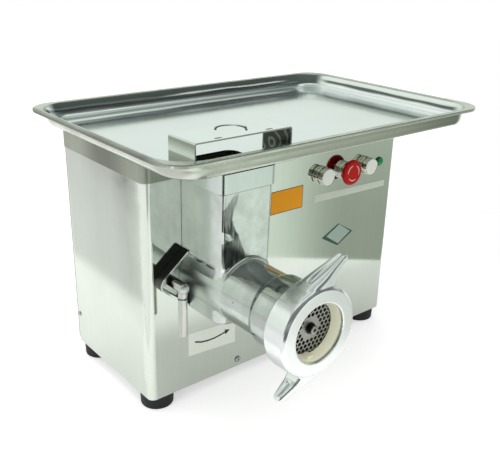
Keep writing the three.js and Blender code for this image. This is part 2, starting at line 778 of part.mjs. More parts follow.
function clampHandle() {
  const barY = -clampReach + clampRadius;
  const top = clampZ - handleJoint - gap;
  const bottom = clampZ - handleLength;
  return turnedUp(clampX, barY, [
    [0, bottom], [handleRadius - 1.2, bottom], [handleRadius, bottom + 1.2], [handleRadius, top - 2.4],
    [handleRadius - 2.4, top - 1.6], [handleRadius - 2.4, top], [0, top]]);
}
add('clamp_handle', clampHandle(), castMetal);

// ---------- loading tray and the collar that locates it on the throat ----------
const trayBottom = topPlateTop + gap;
const trayFloor = trayBottom + traySheet;
const trayLipTop = trayBottom + trayDepth;

function trayLoop(inset, z) {
  const left = -trayLeftOverhang;
  const front = -trayFrontOverhang;
  const radius = Math.max(trayCorner - inset, 2);
  return loopAt(roundedOutline(
    left + inset, left + trayWidth - inset, front + inset, front + trayLength - inset,
    Array(4).fill(radius), 6), z);
}

function tray() {
  const wallTop = trayLip;
  const wallFoot = wallTop + trayWallRun;
  const floorEdge = wallFoot + trayBend;
  const bendArc = (radius, inset, bottom, steps) => {
    const loops = [];
    for (let i = 0; i <= steps; i += 1) {
      const angle = (i / steps) * (Math.PI / 2);
      loops.push([inset - radius * Math.sin(angle), bottom + radius * (1 - Math.cos(angle))]);
    }
    return loops;
  };
  const t = traySheet;
  const under = [...bendArc(trayBend, floorEdge, trayBottom, 4), [wallTop + t * 0.5, trayLipTop - t],
    [t, trayLipTop - t], [t, trayLipTop - trayLipDrop - t], [0, trayLipTop - trayLipDrop - t]];
  const over = [[0, trayLipTop - 1], [1, trayLipTop], [wallTop + t, trayLipTop],
    ...bendArc(trayBend - t, floorEdge, trayFloor, 4).reverse()];
  const loops = [...under, ...over].map(([inset, z]) => trayLoop(inset, z));
  const rim = loft(loops, true);
  const lap = 0.5;
  const floorLeft = -trayLeftOverhang + floorEdge - lap;
  const floorFront = -trayFrontOverhang + floorEdge - lap;
  const floor = prism(roundedOutline(
    floorLeft, floorLeft + trayWidth - 2 * (floorEdge - lap), floorFront,
    floorFront + trayLength - 2 * (floorEdge - lap),
    Array(4).fill(Math.max(trayCorner - floorEdge, 2) + lap), 6), trayBottom, trayFloor);
  const hole = prism(throatOutline(throatWall + 0.5, 0), trayBottom - 1, trayFloor + 1);
  return rim.add(floor).subtract(hole);
}
add('tray', tray(), mirrorSteel);

function trayCollar() {
  const air = 1;
  const inner = throatOutline(-air, 0);
  const outer = throatOutline(-air - sheet, 0);
  const inside = prism(inner, skirtBottom - 1, topPlateTop + 1);
  const ring = prism(outer, skirtBottom, topPlateTop).subtract(inside);
  return ring.subtract(block(
    throatLeft - 20, throatRight + 20, -skirtFace - gap, 20, skirtBottom - 1, topPlateTop + 1));
}
add('tray_collar', trayCollar(), mirrorSteel);

// ---------- hood over the mouth, with its bow handle ----------
const hoodLeft = headX - hoodWidth / 2;
const hoodTop = trayFloor + gap + hoodHeight;
const hoodBack = -hoodFront + hoodDepth;

function hood() {
  const foot = trayFloor + gap;
  const bent = (inset) => {
    const r = Math.max(hoodBend - inset, 0.5);
    const [x0, x1, top] = [hoodLeft + inset, hoodLeft + hoodWidth - inset, hoodTop - inset];
    const points = [new THREE.Vector2(x0, foot)];
    for (let i = 0; i <= 4; i += 1) {
      const angle = Math.PI - (i / 4) * (Math.PI / 2);
      points.push(new THREE.Vector2(x0 + r + r * Math.cos(angle), top - r + r * Math.sin(angle)));
    }
    for (let i = 0; i <= 4; i += 1) {
      const angle = Math.PI / 2 - (i / 4) * (Math.PI / 2);
      points.push(new THREE.Vector2(x1 - r + r * Math.cos(angle), top - r + r * Math.sin(angle)));
    }
    points.push(new THREE.Vector2(x1, foot));
    return points;
  };
  let shell = prismY([...bent(0), ...bent(sheet).reverse()], -hoodFront, hoodBack);
  for (const x of [headX - bowSlotLeft, headX + bowSlotRight]) {
    shell = shell.subtract(prism(roundedOutline(
      x - bowSlotHalf, x + bowSlotHalf, -hoodFront + 4, -hoodFront + 4 + bowSlotWidth,
      Array(4).fill(bowSlotWidth / 2), 3), hoodTop - sheet - 1, hoodTop + 1));
  }
  return shell;
}
add('hood', hood(), mirrorSteel);


function hoodHandle() {
  const section = (radiusX, rise, base) => {
    const points = [];
    for (let i = 0; i <= 12; i += 1) {
      const angle = Math.PI * (i / 12);
      points.push(new THREE.Vector2(-radiusX * Math.cos(angle), base + rise * Math.sin(angle) ** 0.7));
    }
    return points;
  };
  const inside = section(bowSpan / 2 - bowSheet * 1.6, bowRise - bowSheet, 0).reverse();
  const outline = [...section(bowSpan / 2, bowRise, 0), ...inside];
  return prismY(outline, -bowWidth / 2, bowWidth / 2).rotate([0, 0, bowTurn])
    .translate([headX - 2, -hoodFront + hoodDepth / 2, hoodTop + gap]);
}
add('hood_handle', hoodHandle(), mirrorSteel);

// ---------- push buttons, emergency stop and lamp ----------
const buttonThread = buttonHole - gap;
const wellDepth = barrelDepth - 3;

/** Bezel, threaded barrel and contact block of one button, with the recess and well that its cap
 * slides in. */
function buttonBody(x, bezelDepth) {
  const body = turned(x, buttonZ, [
    [0, -bezelDepth], [buttonRadius - 0.6, -bezelDepth], [buttonRadius, -bezelDepth + 0.6],
    [buttonRadius, -gap],
    [buttonThread, -gap], [buttonThread, barrelDepth], [0, barrelDepth]], 28);
  const contacts = block(x - blockHalf, x + blockHalf, barrelDepth - 1, barrelDepth + blockDepth,
    buttonZ - blockHalf, buttonZ + blockHalf);
  const recess = buttonRadius - bezelWall;
  return body.add(contacts).subtract(turned(x, buttonZ, [
    [0, -bezelDepth - 1], [recess, -bezelDepth - 1], [recess, -bezelFloor], [stemRadius + gap, -bezelFloor],
    [stemRadius + gap, wellDepth], [0, wellDepth]], 24));
}

/** The part of a cap that slides in its button: neck in the recess, stem in the well. */
function slidingNeck(front, bezelDepth) {
  const neck = buttonRadius - bezelWall - gap;
  const neckBack = bezelDepth - neckAir;
  const end = -bezelFloor - 0.1;
  return [[neck, -front], [neck, -neckBack], [stemRadius, -neckBack], [stemRadius, end], [0, end]];
}

function buttonCap(x) {
  const front = 16;
  const back = pushBezel + buttonTravel + 0.7;
  const rim = buttonRadius - 0.4;
  return turned(x, buttonZ, [
    [0, -front], [rim - 0.8, -front], [rim, -front + 0.8], [rim, -back],
    ...slidingNeck(back, pushBezel)], 28);
}

/** Hexagon nut that holds a button against the back of the panel; its thread runs free by a gap. */
function lockNut(x, thread, radius) {
  const hexagon = [];
  for (let i = 0; i < 6; i += 1) {
    const angle = (i * Math.PI) / 3;
    hexagon.push(new THREE.Vector2(x + radius * Math.cos(angle), buttonZ + radius * Math.sin(angle)));
  }
  const [front, back] = [panelBack + gap, panelBack + 4];
  return prismY(hexagon, front, back).subtract(rod(x, buttonZ, thread + gap, front - 1, back + 1, 24));
}

const [startX, stopX, reverseX] = [0, 1, 2].map((i) => firstButtonX + i * buttonPitch);
const buttonNut = buttonHole + 5;
add('start_button_body', buttonBody(startX, pushBezel), mirrorSteel);
add('start_button_cap', buttonCap(startX), mirrorSteel);
add('start_locknut', lockNut(startX, buttonThread, buttonNut), zincSteel);
add('reverse_button_body', buttonBody(reverseX, pushBezel), mirrorSteel);
add('reverse_button_cap', buttonCap(reverseX), mirrorSteel);
add('reverse_locknut', lockNut(reverseX, buttonThread, buttonNut), zincSteel);
add('stop_button_body', buttonBody(stopX, stopBezel), mirrorSteel);
add('stop_locknut', lockNut(stopX, buttonThread, buttonNut), zincSteel);

const mushroomBack = stopBezel + mushroomTravel + 2.4;
add('stop_stem', turned(stopX, buttonZ, [
  [0, -mushroomFront + 3], [hubRadius, -mushroomFront + 3], [hubRadius, -mushroomBack + gap],
  ...slidingNeck(mushroomBack - gap, stopBezel)], 24), mirrorSteel);
add('stop_mushroom', turned(stopX, buttonZ, [
  [0, -mushroomFront], [mushroomRadius - 4, -mushroomFront], [mushroomRadius - 1, -mushroomFront + 1.6],
  [mushroomRadius, -mushroomFront + 3.6], [mushroomRadius - 1.5, -mushroomBack],
  [hubRadius + gap, -mushroomBack],
  [hubRadius + gap, -mushroomFront + 3 - gap], [0, -mushroomFront + 3 - gap]], 28), redPlastic);

add('lamp_body', turned(lampX, buttonZ, [
  [0, -1.6], [lampRadius, -1.6], [lampRadius, -gap], [lampRadius - 2, -gap],
  [lampRadius - 2, 20], [0, 20]], 18), blackPlastic);
add('lamp_locknut', lockNut(lampX, lampRadius - 2, lampRadius + 2), zincSteel);
add('lamp_lens', turned(lampX, buttonZ, [
  [0, -6.5], [3, -6.2], [5.4, -4.8], [lampRadius - 1, -2.6], [lampRadius - 1, -1.6 - gap],
  [0, -1.6 - gap]], 18), greenLens);

// ---------- drive: gearbox, gear train, motor and its cradle ----------
const counterX = headX + (coarseModule * (counterPinionTeeth + outputTeeth)) / 2 + gap;
const motorX = counterX + (fineModule * (motorTeeth + counterTeeth)) / 2 + gap;
const gearboxFront = neckLength + 3;
const gearboxBack = gearboxFront + gearboxDepth;
const outputOuter = coarseModule * (outputTeeth / 2 + 1);
const gearboxLeft = headX - outputOuter - gearRoom - gearboxWall;
const gearboxRight = motorX + (fineModule * motorTeeth) / 2 + 22;
const gearboxHalf = outputOuter + gearRoom + gearboxWall;
const coarseFace = [gearboxFront + gearboxWall + 6, gearboxFront + gearboxWall + 28];
const fineFace = [coarseFace[1] + 6, coarseFace[1] + 20];

/** Spur gear blank with straight-sided teeth; its first tooth or gap points at an angle. */
function gear(x, module, teeth, y0, y1, bore, startAngle) {
  const pitch = (module * teeth) / 2;
  const step = (2 * Math.PI) / teeth;
  const points = [];
  for (let i = 0; i < teeth; i += 1) {
    const middle = startAngle + i * step;
    const rootHalf = step * 0.3;
    const tipHalf = step * 0.13;
    for (const [radius, angle] of [[pitch - module * 1.2, -rootHalf], [pitch + module * 0.9, -tipHalf],
      [pitch + module * 0.9, tipHalf], [pitch - module * 1.2, rootHalf]]) {
      const turn = middle + angle;
      points.push(new THREE.Vector2(x + radius * Math.cos(turn), headZ + radius * Math.sin(turn)));
    }
  }
  const wheel = prismY(points, y0, y1);
  return bore > 0 ? wheel.subtract(rod(x, headZ, bore, y0 - 1, y1 + 1)) : wheel;
}

function gearboxHousing() {
  let box = block(
    gearboxLeft, gearboxRight, gearboxFront, gearboxBack, headZ - gearboxHalf, headZ + gearboxHalf);
  box = box.subtract(block(gearboxLeft + gearboxWall, gearboxRight - gearboxWall, gearboxFront + gearboxWall,
    gearboxBack + 1, headZ - gearboxHalf + gearboxWall, headZ + gearboxHalf - gearboxWall));
  // socket that takes the head's neck and seats on the front panel
  box = box.add(tube(headX, headZ, neckRadius + gap, neckRadius + 10, panelBack + gap, gearboxFront + 1, 28));
  box = box.subtract(rod(headX, headZ, bearingOuter + gap, gearboxFront - 2, gearboxFront + gearboxWall + 1));
  const socket = [gearboxFront + 3, gearboxFront + gearboxWall + 1];
  return box.subtract(rod(counterX, headZ, counterShaftRadius + gap, ...socket));
}
add('gearbox_housing', gearboxHousing(), greyPaint);

const gearboxCoverBack = gearboxBack + gap + coverThickness;
function gearboxCover() {
  let plate = block(
    gearboxLeft, gearboxRight, gearboxBack + gap, gearboxCoverBack,
    headZ - gearboxHalf, headZ + gearboxHalf);
  plate = plate.add(rod(headX, headZ, bearingOuter + 7, gearboxBack + gap, gearboxCoverBack + 6));
  plate = plate.subtract(rod(headX, headZ, bearingOuter + gap, gearboxBack - 1, gearboxCoverBack + 2));
  plate = plate.subtract(rod(counterX, headZ, counterShaftRadius + gap, gearboxBack - 1, gearboxBack + 5));
  return plate.subtract(rod(motorX, headZ, 14, gearboxBack - 1, gearboxCoverBack + 1));
}
add('gearbox_cover', gearboxCover(), greyPaint);

const outputFront = neckLength + gap * 2;
const outputBack = gearboxCoverBack + 1;
function outputShaft() {
  const seat = outputFront + tangLength + 2;
  let shaft = turned(headX, headZ, [
    [0, outputFront], [journalRadius, outputFront], [journalRadius, gearboxFront - 0.5],
    [shaftRadius, gearboxFront - 0.5],
    [shaftRadius, outputBack], [0, outputBack]]);
  const slot = block(headX - tangThickness / 2 - gap, headX + tangThickness / 2 + gap, outputFront - 1, seat,
    headZ - journalRadius * 0.6 - gap, headZ + journalRadius * 0.6 + gap);
  return shaft.subtract(slot);
}
add('output_shaft', outputShaft(), toolSteel);
add('output_bearing_front', tube(headX, headZ, shaftRadius + gap, bearingOuter, gearboxFront + gap,
  gearboxFront + gearboxWall), toolSteel);
add('output_bearing_rear', tube(headX, headZ, shaftRadius + gap, bearingOuter, gearboxBack + 1,
  gearboxCoverBack + 1.5), toolSteel);
const outputStep = (2 * Math.PI) / outputTeeth;
const outputGear = gear(
  headX, coarseModule, outputTeeth, ...coarseFace, shaftRadius + gap, outputStep / 2);
add('output_gear', outputGear, toolSteel);

const counterStep = (2 * Math.PI) / counterTeeth;
function countershaft() {
  const shaft = rod(counterX, headZ, counterShaftRadius, gearboxFront + 3 + gap, gearboxBack + 4.5);
  const pinion = gear(counterX, coarseModule, counterPinionTeeth, ...coarseFace, 0, Math.PI);
  return shaft.add(pinion);
}
add('countershaft', countershaft(), toolSteel);
const counterGear = gear(
  counterX, fineModule, counterTeeth, ...fineFace, counterShaftRadius + gap, counterStep / 2);
add('counter_gear', counterGear, toolSteel);

const statorFront = gearboxCoverBack + gap;
const statorBack = statorFront + statorLength;
add('motor_pinion', gear(motorX, fineModule, motorTeeth, ...fineFace, motorShaft + gap, Math.PI), toolSteel);

function motorStator() {
  const fins = 16;
  const outline = [];
  for (let i = 0; i < fins; i += 1) {
    const steps = [
      [motorRadius - 5, 0], [motorRadius - 5, 0.55], [motorRadius, 0.6], [motorRadius, 0.95]];
    for (const [radius, share] of steps) {
      const angle = ((i + share) / fins) * 2 * Math.PI;
      outline.push(new THREE.Vector2(motorX + radius * Math.cos(angle), headZ + radius * Math.sin(angle)));
    }
  }
  const flange = rod(motorX, headZ, motorRadius - 3, statorFront, statorFront + 8, 16);
  const frame = prismY(outline, statorFront, statorBack).add(flange);
  return frame.subtract(turned(motorX, headZ, [
    [0, statorFront - 1], [motorShaft + 1, statorFront - 1], [motorShaft + 1, statorFront + 8],
    [motorRadius - 16, statorFront + 8], [motorRadius - 16, statorBack + 1], [0, statorBack + 1]]));
}
add('motor_stator', motorStator(), greyPaint);

add('motor_rotor', turned(motorX, headZ, [
  [0, fineFace[0] - 2], [motorShaft, fineFace[0] - 2], [motorShaft, statorFront + rotorFrontSet],
  [motorRadius - rotorInset, statorFront + rotorFrontSet],
  [motorRadius - rotorInset, statorBack - rotorBackSet], [motorShaft, statorBack - rotorBackSet],
  [motorShaft, statorBack + 6], [0, statorBack + 6]]),
zincSteel);

add('motor_end_bell', turned(motorX, headZ, [
  [motorShaft + gap, statorBack + gap], [motorRadius - 2, statorBack + gap],
  [motorRadius - 2, statorBack + bellDepth / 2],
  [motorRadius - bellRim, statorBack + bellDepth], [motorShaft + gap, statorBack + bellDepth]]), greyPaint);

function driveCradle() {
  const top = headZ - gearboxHalf - gap;
  const bottom = baseTop + gap;
  const [x0, x1] = [gearboxLeft, gearboxRight];
  const t = cradleSheet;
  const outline = [
    [x0, bottom], [x0 + cradleFoot, bottom], [x0 + cradleFoot, bottom + t], [x0 + t, bottom + t],
    [x0 + t, top - t], [x1 - t, top - t], [x1 - t, bottom + t], [x1 - cradleFoot, bottom + t],
    [x1 - cradleFoot, bottom], [x1, bottom], [x1, top], [x0, top]];
  return prismY(outline.map(([x, z]) => new THREE.Vector2(x, z)), footInset + 12, statorBack);
}
add('drive_cradle', driveCradle(), zincSteel);

// ---------- switchgear on the base plate ----------
const contactorX = casingWidth - contactorInset;
const switchgearFloor = baseTop + gap;
add('contactor', block(contactorX - contactorWidth / 2, contactorX + contactorWidth / 2,
  switchgearY - contactorDepth / 2, switchgearY + contactorDepth / 2,
  switchgearFloor, switchgearFloor + contactorHeight), blackPlastic);
add('capacitor', turnedUp(casingWidth - capacitorInset, switchgearY, [
  [0, switchgearFloor], [capacitorRadius, switchgearFloor],
  [capacitorRadius, switchgearFloor + capacitorHeight],
  [capacitorRadius * 0.85, switchgearFloor + capacitorHeight * 1.04],
  [0, switchgearFloor + capacitorHeight * 1.04]]),
greyPaint);

// the machine's frame: zero under the middle of the whole, on the surface it stands on
const bounds = new THREE.Box3().setFromObject(group);
const middle = bounds.getCenter(new THREE.Vector3());
group.position.set(-middle.x, -middle.y, -bounds.min.z);
group.updateMatrixWorld(true);

export default group;
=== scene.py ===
import math

import bmesh
import bpy
from mathutils import Matrix, Vector


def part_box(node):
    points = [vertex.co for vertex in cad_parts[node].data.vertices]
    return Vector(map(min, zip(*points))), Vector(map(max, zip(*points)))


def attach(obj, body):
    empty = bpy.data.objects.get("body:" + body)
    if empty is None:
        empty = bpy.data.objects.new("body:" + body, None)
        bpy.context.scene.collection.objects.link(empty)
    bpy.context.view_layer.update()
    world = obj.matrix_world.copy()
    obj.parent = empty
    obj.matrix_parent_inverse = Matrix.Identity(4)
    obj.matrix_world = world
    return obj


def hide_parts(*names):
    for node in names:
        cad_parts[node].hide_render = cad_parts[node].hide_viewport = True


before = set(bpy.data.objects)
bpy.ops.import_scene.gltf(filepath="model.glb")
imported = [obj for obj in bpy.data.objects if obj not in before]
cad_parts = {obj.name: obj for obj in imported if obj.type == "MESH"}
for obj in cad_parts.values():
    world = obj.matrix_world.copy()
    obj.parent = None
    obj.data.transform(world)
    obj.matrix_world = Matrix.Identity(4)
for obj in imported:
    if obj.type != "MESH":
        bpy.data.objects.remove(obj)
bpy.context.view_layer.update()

# ---------------------------------------------------------------------------
# Studio: a white sheet on a table, its right-hand edge running away from the lens, a pale wall
# behind and a darker room in front. One large softbox hangs overhead, a smaller one stands
# front left. The lens looks down on the machine's front left corner.
MM = 0.001
casing_corner = Vector(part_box("casing_wrap")[0])     # front left bottom corner of the folded casing


def from_corner(x, y, z):
    """A point given in millimetres from the casing's front left bottom corner."""
    return casing_corner + Vector((x, y, z)) * MM


def at(axis, distance):
    """A place along one axis in metres, given in millimetres from the same corner."""
    return casing_corner["XYZ".index(axis)] + distance * MM


def around(x, y, radius, angle):
    """A point in a plane, round a middle."""
    return x + radius * math.cos(angle), y + radius * math.sin(angle)


def put(name, points, faces):
    """A mesh piece from corner points in millimetres, its faces turned outwards."""
    mesh = bpy.data.meshes.new(name)
    mesh.from_pydata([from_corner(*point) for point in points], [], faces)
    piece = bpy.data.objects.new(name, mesh)
    bpy.context.scene.collection.objects.link(piece)
    face_out(piece)
    return piece


def face_out(piece):
    """Weld doubled points and turn every face of a closed mesh outwards."""
    work = bmesh.new()
    work.from_mesh(piece.data)
    bmesh.ops.remove_doubles(work, verts=work.verts, dist=1e-7)
    bmesh.ops.recalc_face_normals(work, faces=work.faces)
    work.to_mesh(piece.data)
    work.free()


def node(tree, kind, inputs=None, operation=None):
    """A node of a kind, its operation set and its inputs fed, by name or number, with values or sockets."""
    made = tree.nodes.new(kind)
    if operation:
        made.operation = operation
    for name, value in (inputs or {}).items():
        if isinstance(value, bpy.types.NodeSocket):
            tree.links.new(value, made.inputs[name])
        else:
            made.inputs[name].default_value = value
    return made


def maths(tree, operation, first, second):
    """A maths node between two sockets or numbers."""
    return node(tree, "ShaderNodeMath", {0: first, 1: second}, operation).outputs[0]


def product(tree, first, *others):
    """Sockets or numbers multiplied together."""
    for value in others:
        first = maths(tree, "MULTIPLY", first, value)
    return first


def map_range(tree, value, start, end, low=0.0, high=1.0, smooth=False):
    """A value that runs from start to end brought to run from low to high, evenly or in a smooth step."""
    made = node(tree, "ShaderNodeMapRange", {
        "Value": value, "From Min": start, "From Max": end, "To Min": low, "To Max": high})
    if smooth:
        made.interpolation_type = "SMOOTHSTEP"
    return made.outputs[0]


def ramp(tree, factor, stops):
    """A colour that follows a factor: each stop is a place from 0 to 1 and the colour there."""
    made = node(tree, "ShaderNodeValToRGB", {"Fac": factor})
    marks = made.color_ramp.elements
    while len(marks) < len(stops):
        marks.new(0.5)
    for mark, (place, colour) in zip(marks, stops):
        mark.position = place
        mark.color = (*colour, 1)
    return made.outputs["Color"]


def noise(tree, vector, scale, detail=3.0, rough=0.55):
    """A noise texture's value between 0 and 1."""
    return node(tree, "ShaderNodeTexNoise", {
        "Vector": vector, "Scale": scale, "Detail": detail, "Roughness": rough}).outputs[0]


def object_place(tree):
    """A point's place on its piece in metres: the whole vector, and its X, Y and Z."""
    here = tree.nodes.new("ShaderNodeTexCoord").outputs["Object"]
    return here, node(tree, "ShaderNodeSeparateXYZ", {0: here}).outputs


def plain_finish(name, colour, roughness):
    """A material of one colour and roughness, with its node tree and its Principled shader."""
    made = bpy.data.materials.new(name)
    made.use_nodes = True
    shader = made.node_tree.nodes["Principled BSDF"]
    shader.inputs["Base Color"].default_value = (*colour, 1)
    shader.inputs["Roughness"].default_value = roughness
    return made, made.node_tree, shader


table_level = -casing_corner.z / MM
table_edge_run = Vector((0.768, 0.640))              # direction of the sheet's right-hand edge
table_edge_start = Vector((8.0, -732.0))
near_end = table_edge_start - table_edge_run * 1500
far_end = table_edge_start + table_edge_run * 6000
floor = put("table_sheet", [
    (near_end.x, near_end.y, table_level), (far_end.x, far_end.y, table_level),
    (-3000, 5000, table_level), (-4500, -1500, table_level)], [(0, 1, 2, 3)])

# Painted light: in reflections alone the sheet glows, strongly just beside the casing's left side and faintly
# further left, faintly just in front of the machine and more strongly further out; the metal mirrors that
# glow. For the lens it glows evenly.
lens_glow = 0.43
left_end, left_near, left_dim, left_full = -185, -150, 0.02, 0.40
front_near, front_end, front_dim, front_full = -150, -235, 0.14, 0.38
corner_band = 20
paper, tree, shader = plain_finish("white_paper", (0.88, 0.88, 0.88), 0.9)
shader.inputs["Specular IOR Level"].default_value = 0.0
shader.inputs["Emission Color"].default_value = (1, 1, 1, 1)
rays = tree.nodes.new("ShaderNodeLightPath").outputs
place = object_place(tree)[1]
left_side = map_range(tree, place["X"], at("X", left_end), at("X", left_near), left_dim, left_full, True)
front_side = map_range(tree, place["Y"], at("Y", front_near), at("Y", front_end), front_dim, front_full, True)
past_corner = map_range(tree, place["X"], at("X", -corner_band), at("X", corner_band), smooth=True)
painted_reflected_glow = node(tree, "ShaderNodeMix", {"Factor": past_corner, 2: left_side, 3: front_side}).outputs[0]
glow = maths(tree, "ADD", product(tree, rays["Is Camera Ray"], lens_glow),
             product(tree, rays["Is Glossy Ray"], painted_reflected_glow))
tree.links.new(glow, shader.inputs["Emission Strength"])
floor.data.materials.append(paper)

# A black cloth flag stands under the lens; only the first bounce off bright metal shows it.
flag_left, flag_right, flag_top = (-500, -590), (-130, -900), 190
flag = put("lens_flag", [(*flag_left, table_level), (*flag_right, table_level), (*flag_right, flag_top),
                         (*flag_left, flag_top)], [(0, 1, 2, 3)])
cloth, tree, shader = plain_finish("black_cloth", (0.03, 0.035, 0.035), 0.9)
bounces = tree.nodes.new("ShaderNodeLightPath").outputs["Glossy Depth"]
tree.links.new(maths(tree, "LESS_THAN", bounces, 1.5), shader.inputs["Alpha"])
flag.data.materials.append(cloth)
flag.visible_camera = False
flag.visible_diffuse = False
flag.visible_shadow = False

world = bpy.data.worlds.new("studio_room")
bpy.context.scene.world = world
world.use_nodes = True
tree = world.node_tree
tree.nodes.clear()
# The room's edges are not level, since things stand about in it: a slow noise lifts and drops them.
edge_sway = 0.12
heading = tree.nodes.new("ShaderNodeTexCoord").outputs["Generated"]
lift_by = node(tree, "ShaderNodeVectorMath", {
    0: noise(tree, heading, 3.5, 2.0, 0.5), 1: (0, 0, edge_sway), 2: (0, 0, -edge_sway / 2)}, "MULTIPLY_ADD")
swayed = node(tree, "ShaderNodeVectorMath", {0: heading, 1: lift_by.outputs[0]})
parts = node(tree, "ShaderNodeSeparateXYZ", {0: swayed.outputs[0]}).outputs


def room_side(stops):
    """Colours of the room by height: each stop is a height from -1 straight down to 1 straight up."""
    shares = [((height + 1) / 2, colour) for height, colour in stops]
    return ramp(tree, map_range(tree, parts["Z"], -1, 1), shares)


def mix_colours(factor, first, second):
    """Mix two colours, or a colour and a socket, by a factor socket."""
    mix = tree.nodes.new("ShaderNodeMix")
    mix.data_type = "RGBA"
    for number, value in ((0, factor), (6, first), (7, second)):
        if isinstance(value, tuple):
            mix.inputs[number].default_value = value
        else:
            tree.links.new(value, mix.inputs[number])
    return mix.outputs[2]


upper_front = [
    (-0.01, (0.10, 0.12, 0.11)), (0.08, (0.17, 0.20, 0.19)), (0.20, (0.30, 0.34, 0.32)),
    (0.30, (0.08, 0.09, 0.085)), (0.55, (0.10, 0.12, 0.115)), (0.76, (0.13, 0.155, 0.15)),
    (0.83, (1.0, 1.06, 1.02)), (0.92, (1.05, 1.1, 1.05)), (0.97, (0.40, 0.44, 0.42))]
front_right = room_side([
    (-0.45, (0.40, 0.44, 0.385)), (-0.34, (0.43, 0.47, 0.415)), (-0.18, (0.62, 0.67, 0.61)),
    (-0.06, (0.50, 0.55, 0.50))] + upper_front)
front_left = room_side([
    (-0.45, (0.92, 1.0, 0.93)), (-0.10, (0.95, 1.03, 0.96)), (-0.06, (0.60, 0.66, 0.60))] + upper_front)
back_right = room_side([
    (-0.10, (0.95, 1, 0.95)), (-0.03, (0.80, 0.85, 0.80)), (0.0, (0.07, 0.07, 0.06)),
    (0.05, (0.12, 0.12, 0.10)), (0.08, (0.70, 0.75, 0.70)), (0.25, (0.90, 0.97, 0.92)),
    (0.47, (0.86, 0.93, 0.88)), (0.57, (0.24, 0.27, 0.26)), (0.70, (0.18, 0.21, 0.20)),
    (0.80, (0.50, 0.55, 0.53)), (0.93, (0.42, 0.46, 0.44))])
back_left = room_side([
    (-0.10, (0.86, 0.93, 0.85)), (0.25, (0.88, 0.95, 0.87)), (0.44, (1.0, 1.06, 1.0)),
    (0.52, (0.95, 1.0, 0.95)), (0.60, (0.50, 0.55, 0.51)), (0.72, (0.55, 0.60, 0.56)),
    (0.82, (0.80, 0.86, 0.82)), (0.93, (0.50, 0.54, 0.51))])
right_bound = math.radians(41)                       # how far round to the right the front's left part ends
across = node(tree, "ShaderNodeVectorMath", {
    0: heading, 1: (math.cos(right_bound), math.sin(right_bound), 0)}, "DOT_PRODUCT").outputs["Value"]
# Each side blends into the next over a narrow span of the heading.
back = mix_colours(map_range(tree, parts["X"], 0.50, 0.32, smooth=True), back_right, back_left)
front = mix_colours(map_range(tree, across, 0.0, 0.11, smooth=True), front_left, front_right)
room = mix_colours(map_range(tree, parts["Y"], -0.30, 0.20), front, back)
rays = tree.nodes.new("ShaderNodeLightPath").outputs
shown = mix_colours(rays["Is Glossy Ray"], (0.80, 0.80, 0.80, 1), room)
clear = maths(tree, "MAXIMUM", rays["Is Camera Ray"], rays["Is Transmission Ray"])
shown = mix_colours(clear, shown, (1, 1, 1, 1))
sky = node(tree, "ShaderNodeBackground", {"Color": shown})
node(tree, "ShaderNodeOutputWorld", {"Surface": sky.outputs[0]})


def softbox(name, spot, aim, side, power):
    """A square lamp in metres, turned towards a point."""
    lamp = bpy.data.lights.new(name, "AREA")
    lamp.shape = "SQUARE"
    lamp.size = side
    lamp.energy = power
    holder = bpy.data.objects.new(name, lamp)
    bpy.context.scene.collection.objects.link(holder)
    look = (Vector(aim) - Vector(spot)).to_track_quat("-Z", "Y")
    holder.matrix_world = Matrix.Translation(Vector(spot)) @ look.to_matrix().to_4x4()
    holder.visible_glossy = False


softbox("overhead_softbox", (-0.2, 0.1, 2.1), (0, 0, 0.2), 1.9, 16)
softbox("left_softbox", (-1.9, -0.9, 1.5), (0, 0, 0.25), 0.9, 6)

camera_data = bpy.data.cameras.new("studio_lens")
camera_data.sensor_width = 36
camera_data.lens = 50.72
camera_data.clip_start = 0.05
camera = bpy.data.objects.new("studio_camera", camera_data)
bpy.context.scene.collection.objects.link(camera)
yaw, pitch, roll = (math.radians(angle) for angle in (39.83, 22.16, 1.454))
level = Vector((math.cos(yaw), -math.sin(yaw), 0))
upright = Vector((math.sin(yaw) * math.sin(pitch), math.cos(yaw) * math.sin(pitch), math.cos(pitch)))
right = level * math.cos(roll) + upright * math.sin(roll)
up = upright * math.cos(roll) - level * math.sin(roll)
turn = Matrix((right, up, right.cross(up))).transposed()
camera.matrix_world = Matrix.Translation(from_corner(-435.0, -732.6, 608.1)) @ turn.to_4x4()
bpy.context.scene.camera = camera
bpy.context.scene.view_settings.view_transform = "Standard"

# ---------------------------------------------------------------------------
# Casing: one stainless sheet, 2 mm, folded round the front and both sides, with return flanges at
# the back for the rear cover. Its upright bends are 10 mm. The sheet is bright-rolled, with a faint
# upright grain, and has holes for the head's neck, the clamp spindle, the buttons and the lamp.
casing_width, casing_depth, casing_height = (Vector(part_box("casing_wrap")[1]) - casing_corner) / MM
bend_steps = 14


def rounded(x0, x1, y0, y1, radii, steps=bend_steps):
    """Outline of a rectangle with its four corner radii: front left, front right, back right, back left."""
    if isinstance(radii, (int, float)):
        radii = [radii] * 4
    corners = ((x0, y0, 1, 1, 180), (x1, y0, -1, 1, 270), (x1, y1, -1, -1, 0), (x0, y1, 1, -1, 90))
    outline = []
    for (x, y, sx, sy, start), radius in zip(corners, radii):
        radius = max(radius, 0.02)
        for i in range(steps + 1):
            angle = math.radians(start + 90 * i / steps)
            outline.append(around(x + sx * radius, y + sy * radius, radius, angle))
    return outline


def block(x, y, half_wide, half_high, radius, steps):
    """Outline of a rounded rectangle about a middle."""
    return rounded(x - half_wide, x + half_wide, y - half_high, y + half_high, radius, steps)


